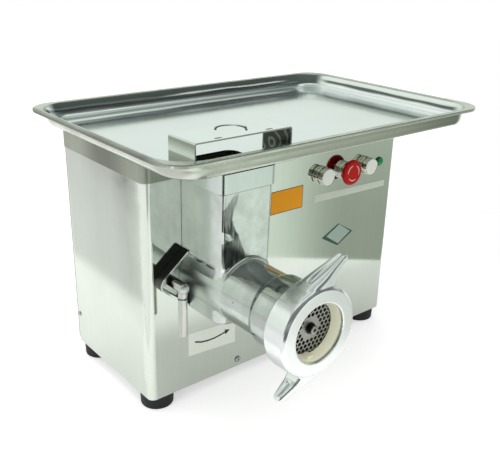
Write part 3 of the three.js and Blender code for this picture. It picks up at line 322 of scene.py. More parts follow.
def skin(loops, ring=False, base=0):
    """Faces between loops of equal counts of points, numbered from a base; the ends are capped, or meet."""
    count = len(loops[0])
    faces = []
    for i in range(len(loops) if ring else len(loops) - 1):
        near, far = base + i * count, base + (i + 1) % len(loops) * count
        for j in range(count):
            beside = (j + 1) % count
            faces.append((near + j, near + beside, far + beside, far + j))
    if not ring:
        last = base + (len(loops) - 1) * count
        faces.append(tuple(range(base + count - 1, base - 1, -1)))
        faces.append(tuple(range(last, last + count)))
    return faces


def loft(name, loops, ring=False):
    """Skin loops that have equal counts of points, capped at the ends or closed into a ring."""
    return put(name, [point for loop in loops for point in loop], skin(loops, ring))


def upright_prism(name, outline, low, high):
    """An outline in x, y stood up between two heights."""
    return loft(name, [[(x, y, z) for x, y in outline] for z in (low, high)])


def deep_prism(name, outline, front, back):
    """An outline in x, z pushed along y."""
    return loft(name, [[(x, y, z) for x, z in outline] for y in (front, back)])


def turned(name, x, z, profile, segments=96):
    """A profile of (radius, y) turned about an axis along y; it ends on the axis or closes into a ring."""
    on_axis = profile[0][0] == 0 and profile[-1][0] == 0
    points, faces, rows = [], [], []
    for radius, y in profile:
        if radius == 0:
            rows.append([len(points)] * segments)
            points.append((x, y, z))
            continue
        rows.append([len(points) + i for i in range(segments)])
        for i in range(segments):
            across, height = around(x, z, radius, 2 * math.pi * i / segments)
            points.append((across, y, height))
    spans = list(zip(rows, rows[1:])) + ([] if on_axis else [(rows[-1], rows[0])])
    for first, second in spans:
        for i in range(segments):
            ahead = (i + 1) % segments
            face = [first[i], first[ahead], second[ahead], second[i]]
            face = [point for k, point in enumerate(face) if point != face[k - 1]]
            if len(face) > 2:
                faces.append(tuple(face))
    return put(name, points, faces)


def settle(piece):
    """Turn a piece and its modifiers into a plain mesh."""
    ready = piece.evaluated_get(bpy.context.evaluated_depsgraph_get())
    mesh = bpy.data.meshes.new_from_object(ready)
    old = piece.data
    piece.modifiers.clear()
    piece.data = mesh
    bpy.data.meshes.remove(old)


def boolean(piece, operation, *tools):
    """Join tools to a piece or cut them out of it; the tools are used up."""
    for tool in tools:
        step = piece.modifiers.new(operation, "BOOLEAN")
        step.operation = operation
        step.solver = "EXACT"
        step.object = tool
        settle(piece)
        bpy.data.objects.remove(tool)


def soften(piece, width, segments=3, angle=32):
    """Break the sharp edges to a small radius and let the flats shade flat."""
    piece.data.shade_smooth()
    piece.data.set_sharp_from_angle(angle=math.radians(angle))
    if width:
        edge = piece.modifiers.new("edge", "BEVEL")
        edge.width = width * MM
        edge.segments = segments
        edge.limit_method = "ANGLE"
        edge.angle_limit = math.radians(angle)
    even = piece.modifiers.new("even", "WEIGHTED_NORMAL")
    even.weight = 80
    even.keep_sharp = True
    settle(piece)


def make_group(name, outputs, inputs):
    """An empty shader group with named float sockets."""
    group = bpy.data.node_groups.new(name, "ShaderNodeTree")
    for label, value in inputs.items():
        socket = group.interface.new_socket(label, in_out="INPUT", socket_type="NodeSocketFloat")
        socket.default_value = value
    for label in outputs:
        group.interface.new_socket(label, in_out="OUTPUT", socket_type="NodeSocketFloat")
    return group, group.nodes.new("NodeGroupInput"), group.nodes.new("NodeGroupOutput")


def scaled(tree, vector, factor):
    """A vector or a colour scaled by a factor."""
    return node(tree, "ShaderNodeVectorMath", {0: vector, "Scale": factor}, "SCALE").outputs[0]


# Rolled grain: long fine lines left by the mill's rolls and polishing belts, upright in z.
rolled, grain_in, grain_out = make_group("rolled_grain", ("Height", "Roughness", "Tone"), {
    "Fineness": 900.0, "Strength": 1.0})
grain_length = 0.012
grain_depth = 0.00002                                # metres
here = rolled.nodes.new("ShaderNodeTexCoord").outputs["Object"]
drawn_out = node(rolled, "ShaderNodeVectorMath", {0: here, 1: (1.0, 1.0, grain_length)}, "MULTIPLY")
spread = scaled(rolled, drawn_out.outputs[0], grain_in.outputs["Fineness"])
fine_lines = noise(rolled, spread, 1.0, 4.0, 0.65)
broad_lines = noise(rolled, spread, 0.12, 2.0, 0.5)
lines = maths(rolled, "ADD", product(rolled, fine_lines, 0.6), product(rolled, broad_lines, 0.4))
grain = product(rolled, maths(rolled, "SUBTRACT", lines, 0.5), grain_in.outputs["Strength"])
for socket, value in (("Height", grain), ("Roughness", grain), ("Tone", maths(rolled, "ADD", grain, 1.0))):
    rolled.links.new(value, grain_out.inputs[socket])

# Handling: soft cloudy wipe marks and a few small specks, over everything that hands and cloths touch.
handled, wipe_in, wipe_out = make_group("handling_marks", ("Roughness", "Tone", "Height"), {
    "Size": 9.0, "Amount": 1.0})
speck_level = 0.76
here = handled.nodes.new("ShaderNodeTexCoord").outputs["Object"]
spread = scaled(handled, here, wipe_in.outputs["Size"])
clouds = maths(handled, "SUBTRACT", noise(handled, spread, 1.0, 4.0, 0.6), 0.5)
specks = maths(handled, "GREATER_THAN", noise(handled, spread, 26.0, 2.0, 0.6), speck_level)
smear = product(handled, clouds, wipe_in.outputs["Amount"])
grit = product(handled, specks, wipe_in.outputs["Amount"], 0.25)
tone = maths(handled, "SUBTRACT", 1.0, product(handled, smear, 0.25))
for socket, value in (("Roughness", maths(handled, "ADD", smear, grit)), ("Tone", tone), ("Height", smear)):
    handled.links.new(value, wipe_out.inputs[socket])

grain_gloss, wipe_gloss, glossiest = 0.25, 0.18, 0.5
relief_strength = 0.15


def metal(name, colour, roughness, grain=0.0, wipes=0.5, ripple=0.0, fineness=900.0, size=9.0, metallic=1.0):
    """A finish: its colour and gloss, varied by the rolled grain and the handling marks."""
    made, tree, shader = plain_finish(name, colour, roughness)
    shader.inputs["Metallic"].default_value = metallic
    lines = node(tree, "ShaderNodeGroup")
    lines.node_tree = rolled
    lines.inputs["Fineness"].default_value = fineness
    lines.inputs["Strength"].default_value = grain
    marks = node(tree, "ShaderNodeGroup")
    marks.node_tree = handled
    marks.inputs["Size"].default_value = size
    marks.inputs["Amount"].default_value = wipes
    tone = product(tree, lines.outputs["Tone"], marks.outputs["Tone"])
    tree.links.new(scaled(tree, colour, tone), shader.inputs["Base Color"])
    uneven = maths(tree, "ADD", product(tree, lines.outputs["Roughness"], grain_gloss),
                   product(tree, marks.outputs["Roughness"], wipe_gloss))
    gloss = maths(tree, "MAXIMUM", maths(tree, "ADD", uneven, roughness), roughness * glossiest)
    tree.links.new(gloss, shader.inputs["Roughness"])
    height = maths(tree, "ADD", product(tree, lines.outputs["Height"], grain_depth),
                   product(tree, marks.outputs["Height"], ripple * MM))
    relief = node(tree, "ShaderNodeBump", {"Strength": relief_strength, "Distance": 1.0, "Height": height})
    tree.links.new(relief.outputs[0], shader.inputs["Normal"])
    return made


def dress(piece, material, body, nodes=()):
    """Give a piece its finish, the body it rides on and the solids that it stands for."""
    piece.data.materials.clear()
    piece.data.materials.append(material)
    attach(piece, body)
    if nodes:
        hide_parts(*nodes)


def dress_node(name, material):
    """Give a CAD solid that stays in view its finish."""
    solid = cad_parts[name]
    solid.data.materials.clear()
    solid.data.materials.append(material)


wall = 2.0
casing_bend = 10.0
rear_return, rear_reach = 16.0, 6.0
cut_over = 5                                         # how far a cutter stands past what it cuts
neck_x, neck_z = 97.0, 185.5
spindle_x, spindle_z = 30.6, 189.0
button_row_z = 282.5
button_xs = (317.0, 366.0, 415.0)
lamp_x = 450.525


def panel_hole(name, x, z, radius, segments=48):
    """A cutter for a round hole through the front panel."""
    profile = [(0, -cut_over), (radius, -cut_over), (radius, cut_over), (0, cut_over)]
    return turned(name, x, z, profile, segments)


bright_sheet = metal("bright_rolled_steel", (0.61, 0.66, 0.59), 0.075, grain=0.14, wipes=0.5, ripple=0.03,
                     fineness=1900.0)
casing_outside = rounded(0, casing_width, 0, casing_depth, casing_bend)
casing_inside = rounded(wall, casing_width - wall, wall, casing_depth - wall, casing_bend - wall)
casing_back = rounded(rear_return, casing_width - rear_return, casing_depth - rear_reach,
                      casing_depth + rear_reach, 0, 1)
casing = upright_prism("casing_sheet", casing_outside, 0, casing_height)
boolean(casing, "DIFFERENCE",
        upright_prism("casing_inside", casing_inside, -cut_over, casing_height + cut_over),
        upright_prism("casing_back", casing_back, -cut_over, casing_height + cut_over),
        panel_hole("neck_hole", neck_x, neck_z, 34.3, 96),
        panel_hole("spindle_hole", spindle_x, spindle_z, 7.8),
        *[panel_hole("button_hole", x, button_row_z, 11.2) for x in button_xs],
        panel_hole("lamp_hole", lamp_x, button_row_z, 5.8))
soften(casing, 0.4)
dress(casing, bright_sheet, "machine", ("casing_wrap",))


def opened(material):
    """A finish's node tree and its Principled shader."""
    return material.node_tree, material.node_tree.nodes["Principled BSDF"]


def deepen(material, share):
    """Scale a finish's colour by a share, on top of what was done to it before."""
    tree, shader = opened(material)
    before = shader.inputs["Base Color"].links[0].from_socket
    tree.links.new(scaled(tree, before, share), shader.inputs["Base Color"])


def share_sheen(material, sheen):
    """Make a finish less of a mirror by a share, on top of what was done to it before."""
    tree, shader = opened(material)
    metallic = shader.inputs["Metallic"]
    kept = maths(tree, "SUBTRACT", 1.0, sheen)
    if metallic.links:
        kept = maths(tree, "MINIMUM", metallic.links[0].from_socket, kept)
    tree.links.new(kept, metallic)


def course(tree, place, axis, stops):
    """Values that follow a place along an axis: each stop is a distance in millimetres, and its values."""
    start, end = stops[0][0], stops[-1][0]
    along = map_range(tree, place, at(axis, start), at(axis, end))
    colours = [((stop - start) / (end - start), (*values, 0)[:3]) for stop, *values in stops]
    return node(tree, "ShaderNodeSeparateColor", {0: ramp(tree, along, colours)}).outputs


def paint_shade_and_sheen(material, depths, heights, gate_axis, last, along="Y", wander=1.0):
    """Paint shade and a highlight on one side of a metal along an axis and up its height, as far as a last
    place on a gate axis.

    Depths hold a distance, the painted shade and the painted highlight; heights hold a height and the share
    kept of each."""
    tree = material.node_tree
    here, place = object_place(tree)
    cloud = maths(tree, "SUBTRACT", noise(tree, here, cloud_scale), 0.5)
    painted_shade = sheen = maths(tree, "LESS_THAN", place[gate_axis], at(gate_axis, last))
    for axis, stops, drift in ((along, depths, depth_drift), ("Z", heights, height_drift)):
        drifted = maths(tree, "ADD", place[axis], product(tree, cloud, drift * wander))
        shares = course(tree, drifted, axis, stops)
        painted_shade = product(tree, painted_shade, shares["Red"])
        sheen = product(tree, sheen, shares["Green"])
    deepen(material, maths(tree, "ADD", maths(tree, "SUBTRACT", 1.0, painted_shade), product(tree, sheen, sheen_lift)))
    share_sheen(material, sheen)


cloud_scale = 14.0
depth_drift, height_drift = 0.03, 0.10               # metres that the clouds move a stop by
sheen_lift = 0.45
# Painted shade and highlight on the casing's left side: darker just behind the front bend and towards the
# top, under the tray's overhang, and lighter down the front bend itself.
paint_shade_and_sheen(bright_sheet, [
    (0, 0, 0.6), (9, 0, 0.6), (13, 0, 0.25), (17, 0.12, 0), (24, 0.30, 0), (44, 0.55, 0), (66, 0.42, 0),
    (88, 0.27, 0), (132, 0.22, 0), (176, 0.04, 0), (226, 0, 0)], [
    (0, 0, 1), (105, 0, 1), (150, 0.26, 1), (199, 0.38, 1), (247, 0.42, 1), (287, 0.60, 1), (303, 0.75, 1),
    (317, 1, 1), (352, 1, 1)], "X", 10.2)

# ---------------------------------------------------------------------------
# Top frame: a shallow stainless lid over the casing; its folded skirt hangs 25 mm down outside the
# casing and its corners are welded and dressed round.
skirt_top, skirt_bottom = 352.3, 327.3
skirt_out, skirt_air = 2.5, 0.5
frame_corner = 12.5


def frame_outline(out, radius):
    """The casing's outline let out by an amount."""
    return rounded(-out, casing_width + out, -out, casing_depth + out, radius)


# The lid's dark satin colour is partly painted shade from the tray's overhang.
satin_sheet = metal("satin_rolled_steel", (0.31, 0.335, 0.28), 0.34, grain=0.25, wipes=0.9, ripple=0.02,
                    fineness=2600.0)
lid = upright_prism("top_frame_lid", frame_outline(skirt_out, frame_corner), skirt_bottom, skirt_top)
boolean(lid, "DIFFERENCE", upright_prism("lid_inside", frame_outline(skirt_air, frame_corner - wall),
                                         skirt_bottom - cut_over, skirt_top - wall))
soften(lid, 0.7)
dress(lid, satin_sheet, "machine", ("top_frame",))
# Painted shade and highlight along the skirt's left side: lighter near its front and towards its back, darker
# between.
paint_shade_and_sheen(satin_sheet, [
    (-3, 0, 0.15), (10, 0, 0.15), (30, 0, 0.08), (55, 0.20, 0), (85, 0.42, 0), (115, 0.40, 0), (140, 0.1, 0),
    (165, 0, 0.35), (190, 0, 0.5), (228, 0, 0.4)], [(300, 1, 1), (360, 1, 1)], "X", 0.0)

# ---------------------------------------------------------------------------
# Rear cover: a flat stainless panel with punched louvre slots for the motor's air, held by four
# pan-head screws. The cable gland goes through its low right corner.
satin_cover = metal("satin_cover_steel", (0.66, 0.69, 0.655), 0.28, grain=0.7, wipes=0.5)
dress_node("rear_cover", satin_cover)
zinc = metal("zinc_plate", (0.60, 0.62, 0.60), 0.35, wipes=0.8)
brass = metal("turned_brass", (0.66, 0.56, 0.34), 0.25, wipes=0.8)
blued = metal("blued_washer", (0.16, 0.23, 0.25), 0.30, wipes=0.8, size=40.0)

# Pan-head screws: steel, turned and zinc plated, with a cross recess. Four hold the rear cover, one
# stands on each side, and one at the front holds the earth wire's blued washer.
head_radius, head_height, shank_radius, shank_length = 4.5, 2.4, 2.0, 8.0
recess_size = (0.0048, 0.0009, 0.0030)               # metres
trim_size = (0.02, 0.02, 0.01)                       # takes away the lower half of the ball
screw_places = {
    "rear_screws": (("rear_screw_low_left", "rear_screw_low_right", "rear_screw_high_left",
                     "rear_screw_high_right"), (0, 1, 0), "zinc_steel"),
    "left_side_screw": (("side_screw_left",), (-1, 0, 0), "zinc_steel"),
    "right_side_screw": (("side_screw_right",), (1, 0, 0), "zinc_steel"),
    "ground_screw_head": (("ground_screw",), (0, -1, 0), "brass"),
}


def geometry_group(name, lengths, others):
    """An empty geometry group with lengths in millimetres and other inputs by kind, and its input sockets."""
    tree = bpy.data.node_groups.new(name, "GeometryNodeTree")
    tree.interface.new_socket("Geometry", in_out="INPUT", socket_type="NodeSocketGeometry")
    for label, value in lengths.items():
        socket = tree.interface.new_socket(label, in_out="INPUT", socket_type="NodeSocketFloat")
        socket.default_value = value * MM
    for label, kind in others.items():
        tree.interface.new_socket(label, in_out="INPUT", socket_type="NodeSocket" + kind)
    tree.interface.new_socket("Geometry", in_out="OUTPUT", socket_type="NodeSocketGeometry")
    return tree, tree.nodes.new("NodeGroupInput").outputs


def end_group(tree, shapes, finish):
    """End a geometry group: its instances are realized and given the finish."""
    real = node(tree, "GeometryNodeRealizeInstances", {0: shapes})
    coat = node(tree, "GeometryNodeSetMaterial", {"Geometry": real.outputs[0], "Material": finish})
    node(tree, "NodeGroupOutput", {0: coat.outputs[0]})
    return tree


def moved(tree, shape, **change):
    """A shape moved, turned or scaled by a geometry node."""
    inputs = {name.title(): value for name, value in change.items()}
    return node(tree, "GeometryNodeTransform", {"Geometry": shape, **inputs}).outputs[0]


def combined(tree, operation, start, *others):
    """Shapes joined together, or cut out of the first, by a geometry node."""
    made = node(tree, "GeometryNodeMeshBoolean", None, operation)
    if operation == "DIFFERENCE":
        tree.links.new(start, made.inputs["Mesh 1"])
    else:
        others = (start, *others)
    for shape in others:
        tree.links.new(shape, made.inputs["Mesh 2"])
    return made.outputs["Mesh"]


def screw_group():
    """Geometry nodes that set a screw on every point: head, recess and shank, made along z."""
    tree, given = geometry_group("pan_head_screws", {
        "Head Radius": head_radius, "Head Height": head_height, "Shank Radius": shank_radius,
        "Shank Length": shank_length}, {"Turn": "Rotation", "Finish": "Material"})
    ball = node(tree, "GeometryNodeMeshUVSphere", {
        "Segments": 32, "Rings": 16, "Radius": given["Head Radius"]})
    flatness = maths(tree, "DIVIDE", given["Head Height"], given["Head Radius"])
    squash = node(tree, "ShaderNodeCombineXYZ", {0: 1.0, 1: 1.0, 2: flatness})
    dome = moved(tree, ball.outputs["Mesh"], scale=squash.outputs[0])
    under = node(tree, "GeometryNodeMeshCube", {"Size": trim_size})
    under = moved(tree, under.outputs["Mesh"], translation=(0, 0, -trim_size[2] / 2))
    head_level = node(tree, "ShaderNodeCombineXYZ", {2: given["Head Height"]})
    slot = node(tree, "GeometryNodeMeshCube", {"Size": recess_size})
    slot = moved(tree, slot.outputs["Mesh"], translation=head_level.outputs[0])
    cross = moved(tree, slot, rotation=(0, 0, math.pi / 2))
    head = combined(tree, "DIFFERENCE", dome, under, slot, cross)
    shank = node(tree, "GeometryNodeMeshCylinder", {
        "Vertices": 24, "Radius": given["Shank Radius"], "Depth": given["Shank Length"]})
    half_down = node(tree, "ShaderNodeCombineXYZ", {2: product(tree, given["Shank Length"], -0.5)})
    shank = moved(tree, shank.outputs["Mesh"], translation=half_down.outputs[0])
    screws = node(tree, "GeometryNodeInstanceOnPoints", {
        "Points": given["Geometry"], "Instance": combined(tree, "UNION", head, shank),
        "Rotation": given["Turn"]})
    return end_group(tree, screws.outputs[0], given["Finish"])


def run_nodes(piece, tree, values):
    """Run a geometry group on a piece with its inputs set, and keep the result as a plain mesh."""
    step = piece.modifiers.new("build", "NODES")
    step.node_group = tree
    for item in tree.interface.items_tree:
        if item.item_type == "SOCKET" and item.in_out == "INPUT" and item.name in values:
            step[item.identifier] = values[item.name]
    settle(piece)


def solid_box(name):
    """A CAD solid's middle and half size, in millimetres from the casing's corner."""
    low, high = (Vector(corner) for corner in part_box(name))
    return ((low + high) / 2 - casing_corner) / MM, (high - low) / 2 / MM


screws = screw_group()
for name, (solids, way_out, slot) in screw_places.items():
    way_out = Vector(way_out)
    points = []
    for solid in solids:
        middle, reach = solid_box(solid)
        points.append(tuple(middle + reach * way_out - way_out * head_height))
    piece = put(name, points, [])
    turn_to = way_out.to_track_quat("Z", "Y").to_euler()
    run_nodes(piece, screws, {"Turn": tuple(turn_to), "Finish": zinc})
    soften(piece, 0)
    dress(piece, zinc, "machine", solids)

earth_screw = solid_box("ground_screw")[0]
washer = turned("earth_washer", earth_screw.x, earth_screw.z, [
    (2.2, -0.1), (5.0, -0.1), (5.2, -0.3), (5.2, -0.7), (5.0, -0.9), (2.2, -0.9)], 48)
soften(washer, 0)
dress(washer, blued, "machine")

# ---------------------------------------------------------------------------
# Underside: a zinc-plated base plate, blanked from sheet, closes the casing from below. Four black
# rubber feet are moulded on studs that pass through it.
rubber = metal("black_rubber", (0.018, 0.018, 0.019), 0.75, wipes=1.0, metallic=0.0, size=40.0)
plastic_black = metal("black_moulding", (0.025, 0.027, 0.029), 0.45, wipes=0.8, metallic=0.0, size=25.0)
dress_node("base_plate", zinc)
dress_node("cable_gland", plastic_black)
foot_profile = [(0, -22), (22.3, -22), (23.4, -21.5), (24.0, -20.2), (24.9, -2.0), (24.6, -0.9), (23.8, -0.4),
                (21, -0.4), (21, 1.7), (4, 1.7), (4, 13), (0, 13)]


def turned_up(name, x, y, profile, segments=72):
    """A profile of (radius, z) turned about an upright axis."""
    piece = turned(name, 0, 0, profile, segments)
    for point in piece.data.vertices:
        flat = (point.co - casing_corner) / MM
        point.co = from_corner(x + flat.x, y + flat.z, flat.y)
    face_out(piece)
    return piece


for name in ("foot_front_left", "foot_front_right", "foot_rear_left", "foot_rear_right"):
    centre = solid_box(name)[0]
    foot = turned_up(name + "_rubber", centre.x, centre.y, foot_profile)
    soften(foot, 0.5, 2)
    dress(foot, rubber, "machine", (name,))

# ---------------------------------------------------------------------------
# Grinding head: one polished casting of square throat, round barrel, thicker muzzle and the neck
# that plugs into the casing. A bead runs round the upper side of the barrel's root.
throat_left, throat_right = 56.0, 140.0
throat_front, throat_back = -89.0, -3.0
throat_foot, throat_top = 142.0, 352.3
throat_lean = 4.0
throat_corner = 6.0
throat_low_corner = 20.0                             # beside the barrel the corner rounds off into it
low_corner_top, low_corner_run = 242.0, 45.0
throat_wall = 5.0
foot_round = 5.0
cast_bright = metal("polished_casting", (0.60, 0.65, 0.61), 0.13, grain=0.25, wipes=2.6, ripple=0.08,
                    size=26.0, fineness=500.0)


def deepen_by_height(material, low, high, amount, gate=None):
    """Deepen a metal's tone from one height to another, and only past a gate in y where one is given."""
    tree = material.node_tree
    place = object_place(tree)[1]
    shade = amount
    for axis, ends in (("Z", (low, high)), ("Y", gate)):
        if ends:
            step = map_range(tree, place[axis], at(axis, ends[0]), at(axis, ends[1]), smooth=True)
            shade = product(tree, step, shade)
    deepen(material, maths(tree, "SUBTRACT", 1.0, shade))


def painted_reflection_streak(material, stops, front, back):
    """A painted reflection: a dark streak across a metal; stops are height, left edge, right edge, depth of
    tone.
    """
    tree = material.node_tree
    here, place = object_place(tree)
    streak = course(tree, place["Z"], "Z", [
        (height, (left + right) / 2 / streak_span, (right - left) / streak_span, depth)
        for height, left, right, depth in stops])    # its middle, its width and its depth of tone
    across = maths(tree, "DIVIDE", maths(tree, "SUBTRACT", place["X"], casing_corner.x), streak_span * MM)
    smear = maths(tree, "SUBTRACT", noise(tree, here, streak_wander_scale, 2.0), 0.5)
    across = maths(tree, "ADD", across, product(tree, smear, streak_wander_reach))
    away = maths(tree, "ABSOLUTE", maths(tree, "SUBTRACT", across, streak["Red"]), 0.0)
    inside = maths(tree, "SUBTRACT", product(tree, streak["Green"], 0.5), away)
    slant = node(tree, "ShaderNodeMapping", {
        "Vector": here, "Scale": streak_fleck_scale, "Rotation": (0, streak_fleck_slant, 0)})
    uneven = map_range(tree, noise(tree, slant.outputs[0], 1.0), 0.35, 0.70, 1.08, 0.62)
    shade = product(tree, map_range(tree, inside, *streak_edge, smooth=True), streak["Blue"], uneven,
                    maths(tree, "LESS_THAN", place["Y"], at("Y", back)),
                    maths(tree, "GREATER_THAN", place["Y"], at("Y", front)),
                    maths(tree, "GREATER_THAN", place["Z"], at("Z", stops[0][0])))
    deepen(material, maths(tree, "SUBTRACT", 1.0, shade))


streak_span = 140.0
streak_edge = (-0.010, 0.014)
streak_wander_scale, streak_wander_reach = 60.0, 0.05
streak_fleck_scale, streak_fleck_slant = (260, 1, 45), math.radians(-14)
# A painted reflection: a dark streak up the throat's front face, from the barrel's crown to the collar.
painted_reflection_streak(cast_bright, [
    (226, 40, 98, 0.84), (252, 44, 91, 0.80), (259, 48, 87, 0.70), (264, 73, 84.5, 0.84), (272, 68, 80, 0.90),
    (282, 50, 76, 0.90), (291, 50, 73, 0.84), (301, 52, 75, 0.66), (311, 64, 78, 0.56), (321, 72.5, 83, 0.42),
    (326, 78, 86, 0.0)], -89.4, -87.0)

# Painted light on the casting: a painted highlight along the barrel's crown, strongest towards its root;
# painted shade over the barrel below its crown, deeper underneath; and a painted shadow on the throat from
# just under the collar upwards.
paint_shade_and_sheen(cast_bright, [(-200, 0, 0), (-150, 0, 0.04), (-122, 0, 0.13), (-98, 0, 0.15), (-90, 0, 0.15)], [
    (194, 0, 0), (212, 0, 1), (240, 0, 1)], "Y", -91.0, wander=0.3)
deepen_by_height(cast_bright, neck_z - 6, neck_z - 34, 0.5, (-60, -92))
deepen_by_height(cast_bright, 226, 214, 0.20, (-90, -94))
deepen_by_height(cast_bright, 325.0, 326.2, 0.9)


def eased(t):
    """A smooth step from 0 to 1."""
    return t * t * (3 - 2 * t)


def throat_right_edge(z):
    """The throat's right face, which leans in a little towards its foot."""
    return throat_right - throat_lean * (throat_top - z) / (throat_top - throat_foot - foot_round)


def throat_loop(z, inset=0.0):
    """The throat's outline at a height, pulled in by a rounding or a wall."""
    right = throat_right_edge(max(z, throat_foot + foot_round))
    low = min(1.0, max(0.0, (low_corner_top - z) / low_corner_run))
    front_left = throat_corner + (throat_low_corner - throat_corner) * eased(low)
    radii = [max(front_left - inset, 1), max(throat_corner - inset, 1), 1, 1]
    return [(x, y, z) for x, y in rounded(throat_left + inset, right - inset, throat_front + inset,
                                          throat_back - inset, radii, 12)]


levels = []
foot_steps = 8
for i in range(foot_steps + 1):
    angle = math.pi / 2 * i / foot_steps
    levels.append(throat_loop(throat_foot + foot_round * (1 - math.cos(angle)),
                              foot_round * (1 - math.sin(angle))))
close_steps = [throat_foot + foot_round + 3.5 * i for i in range(1, 27)]
for z in close_steps + [250, 275, 300, 325, throat_top]:
    levels.append(throat_loop(z))
head = loft("head_casting_polished", levels)
muzzle_radius, barrel_radius = 48.5, 44.6
muzzle_back, muzzle_run, muzzle_steps = -159.0, 11, 8
muzzle_step = []
for i in range(muzzle_steps + 1):
    radius = muzzle_radius - (muzzle_radius - barrel_radius) * eased(i / muzzle_steps)
    muzzle_step.append((radius, muzzle_back + muzzle_run * i / muzzle_steps))
barrel = turned("barrel", neck_x, neck_z, [
    (0, -209), (47.3, -209), (48.1, -208.7), (muzzle_radius, -207.8)] + muzzle_step + [
    (barrel_radius, -120), (barrel_radius, -23), (0, -23)], 160)
neck = turned("neck", neck_x, neck_z, [(0, -8), (34, -8), (34, 16), (0, 16)])
pad_loops = []
for z in (throat_foot + foot_round, 165, neck_z, 206, 236, skirt_bottom - 1):
    outline = rounded(throat_left, throat_right_edge(z), throat_back - 5, -0.5, [1, 1, 0.5, 0.5], 3)
    pad_loops.append([(x, y, z) for x, y in outline])
root_taper = [(44.5 + 1.5 * eased(i / 12), -124 + 46 * i / 12) for i in range(13)]
root = turned("barrel_root", neck_x, neck_z, [(0, -124)] + root_taper + [(46, -0.5), (0, -0.5)], 160)
boolean(head, "UNION", barrel, neck, loft("panel_pad", pad_loops), root)
mouth_top = [(x, y, 360) for x, y, _ in throat_loop(throat_top, 3)]
mouth = loft("mouth", [throat_loop(190, throat_wall), throat_loop(300, throat_wall), mouth_top])
bore = turned("bore", neck_x, neck_z, [
    (0, -215), (41.3, -215), (41.3, -193.7), (36.3, -193.7), (36.3, -8), (0, -8)])
seat = turned("bush_seat", neck_x, neck_z, [(0, -12), (26.3, -12), (26.3, 20), (0, 20)])
boolean(head, "DIFFERENCE", mouth, bore, seat)
soften(head, 0.5, 2, 40)
dress(head, cast_bright, "machine", ("head_casting",))


def second_finish(piece, material, chosen):
    """Give another finish to the faces that a test picks."""
    piece.data.materials.append(material)
    number = len(piece.data.materials) - 1
    for face in piece.data.polygons:
        if chosen(face):
            face.material_index = number


flank_casting = metal("flank_casting", (0.60, 0.65, 0.61), 0.34, wipes=0.9, ripple=0.2, size=30.0)
dark_shade_finish = metal("dark_shade_finish", (0.20, 0.19, 0.16), 0.38, wipes=0.9, ripple=0.4, size=30.0)
inside_low = from_corner(throat_left + 2, throat_front + 2, neck_z)
inside_high = from_corner(throat_right - 2, throat_back - 2, throat_top - 1)
throat_middle = (inside_low + inside_high) / 2
flank_low, flank_high = from_corner(0, -92, 140), from_corner(24, 0, 221)
second_finish(head, flank_casting, lambda face: face.normal.x < -0.5 and all(
    flank_low[k] < face.center[k] < flank_high[k] for k in (1, 2)))
# The throat's inside faces are left rough, and painted dark as shade.
second_finish(head, dark_shade_finish, lambda face: all(
    inside_low[k] < face.center[k] < inside_high[k] for k in range(3)) and (
    throat_middle - face.center).xy.dot(face.normal.xy) >= 0)

bead_y, bead_arc, bead_thickness = -90.6, 46.2, 3.0
bead_steps, bead_sides = 72, 14
bead_loops = []
for i in range(bead_steps + 1):
    t = i / bead_steps
    angle = math.radians(32 + 116 * t)
    thickness = bead_thickness * min(1.0, math.sin(math.pi * t) * 3.2 + 0.05)
    loop = []
    for j in range(bead_sides):
        round_angle = 2 * math.pi * j / bead_sides
        radius, y = around(bead_arc, bead_y, thickness, round_angle)
        x, z = around(neck_x, neck_z, radius, angle)
        loop.append((x, y, z))
    bead_loops.append(loop)
bead = loft("barrel_root_bead", bead_loops)
soften(bead, 0)
dress(bead, cast_bright, "machine")

# ---------------------------------------------------------------------------
# Inside the head: a brass bush, the cast auger with its square stud and pin, a four-bladed steel
# knife, and the perforated plate: 82 mm, ground grey, its holes in rows staggered by half a pitch.
ground_steel = metal("ground_plate_steel", (0.40, 0.40, 0.37), 0.42, wipes=0.6, size=30.0)
dress_node("rear_bush", brass)
dress_node("knife", ground_steel)
auger_metal = metal("auger_casting", (0.34, 0.33, 0.29), 0.30, wipes=0.8, size=25.0)
pin_shade_metal = metal("pin_painted_shade", (0.035, 0.03, 0.025), 0.35, wipes=0.8, size=25.0)
core = turned("auger_polished", neck_x, neck_z, [
    (0, -193.4), (20, -193.4), (15, -153.4), (15, -21), (35.4, -13), (35.4, -9), (20, -9), (20, 15),
    (0, 15)], 72)
flight_turns, flight_steps = 3, 34
flight_start, flight_end = -17, -188.4
flight_section = ((12, -5), (35.4, -2.2), (35.4, 2.2), (12, 5))
flight_loops = []
for i in range(flight_turns * flight_steps + 1):
    angle = 2 * math.pi * i / flight_steps
    y = flight_start + (flight_end - flight_start) * i / (flight_turns * flight_steps)
    loop = []
    for radius, side in flight_section:
        x, z = around(neck_x, neck_z, radius, angle)
        loop.append((x, y + side, z))
    flight_loops.append(loop)
flight = loft("auger_flight", flight_loops)
stud = deep_prism("auger_stud", block(neck_x, neck_z, 7, 7, 0.5, 2), -205.7, -190)
pin = turned("auger_pin", neck_x, neck_z, [
    (0, -214.5), (1.9, -217.6), (2.4, -220), (5.0, -220), (5.5, -219.7), (5.8, -219.0), (5.8, -213.5),
    (7.4, -213.2), (7.4, -200), (0, -200)], 48)
tang = deep_prism("auger_tang", block(neck_x, neck_z, 6, 12, 0.5, 2), 14, 30)
boolean(core, "UNION", flight, stud, pin, tang)
soften(core, 0.3, 2, 40)
dress(core, auger_metal, "auger", ("auger",))
# Painted shade: the pin and the front of the stud are near black, standing for the shade in the gap round the
# plate's hub.
second_finish(core, pin_shade_metal, lambda face: at("Y", -217.8) < face.center.y < at("Y", -196))

hole_pitch, hole_radius, hub_radius, rim_radius, punch_depth = 6.6, 2.6, 13.9, 37.0, 20.0
row_ratio = math.sqrt(0.75)                          # rows stand this share of the pitch apart
plate_y = -209


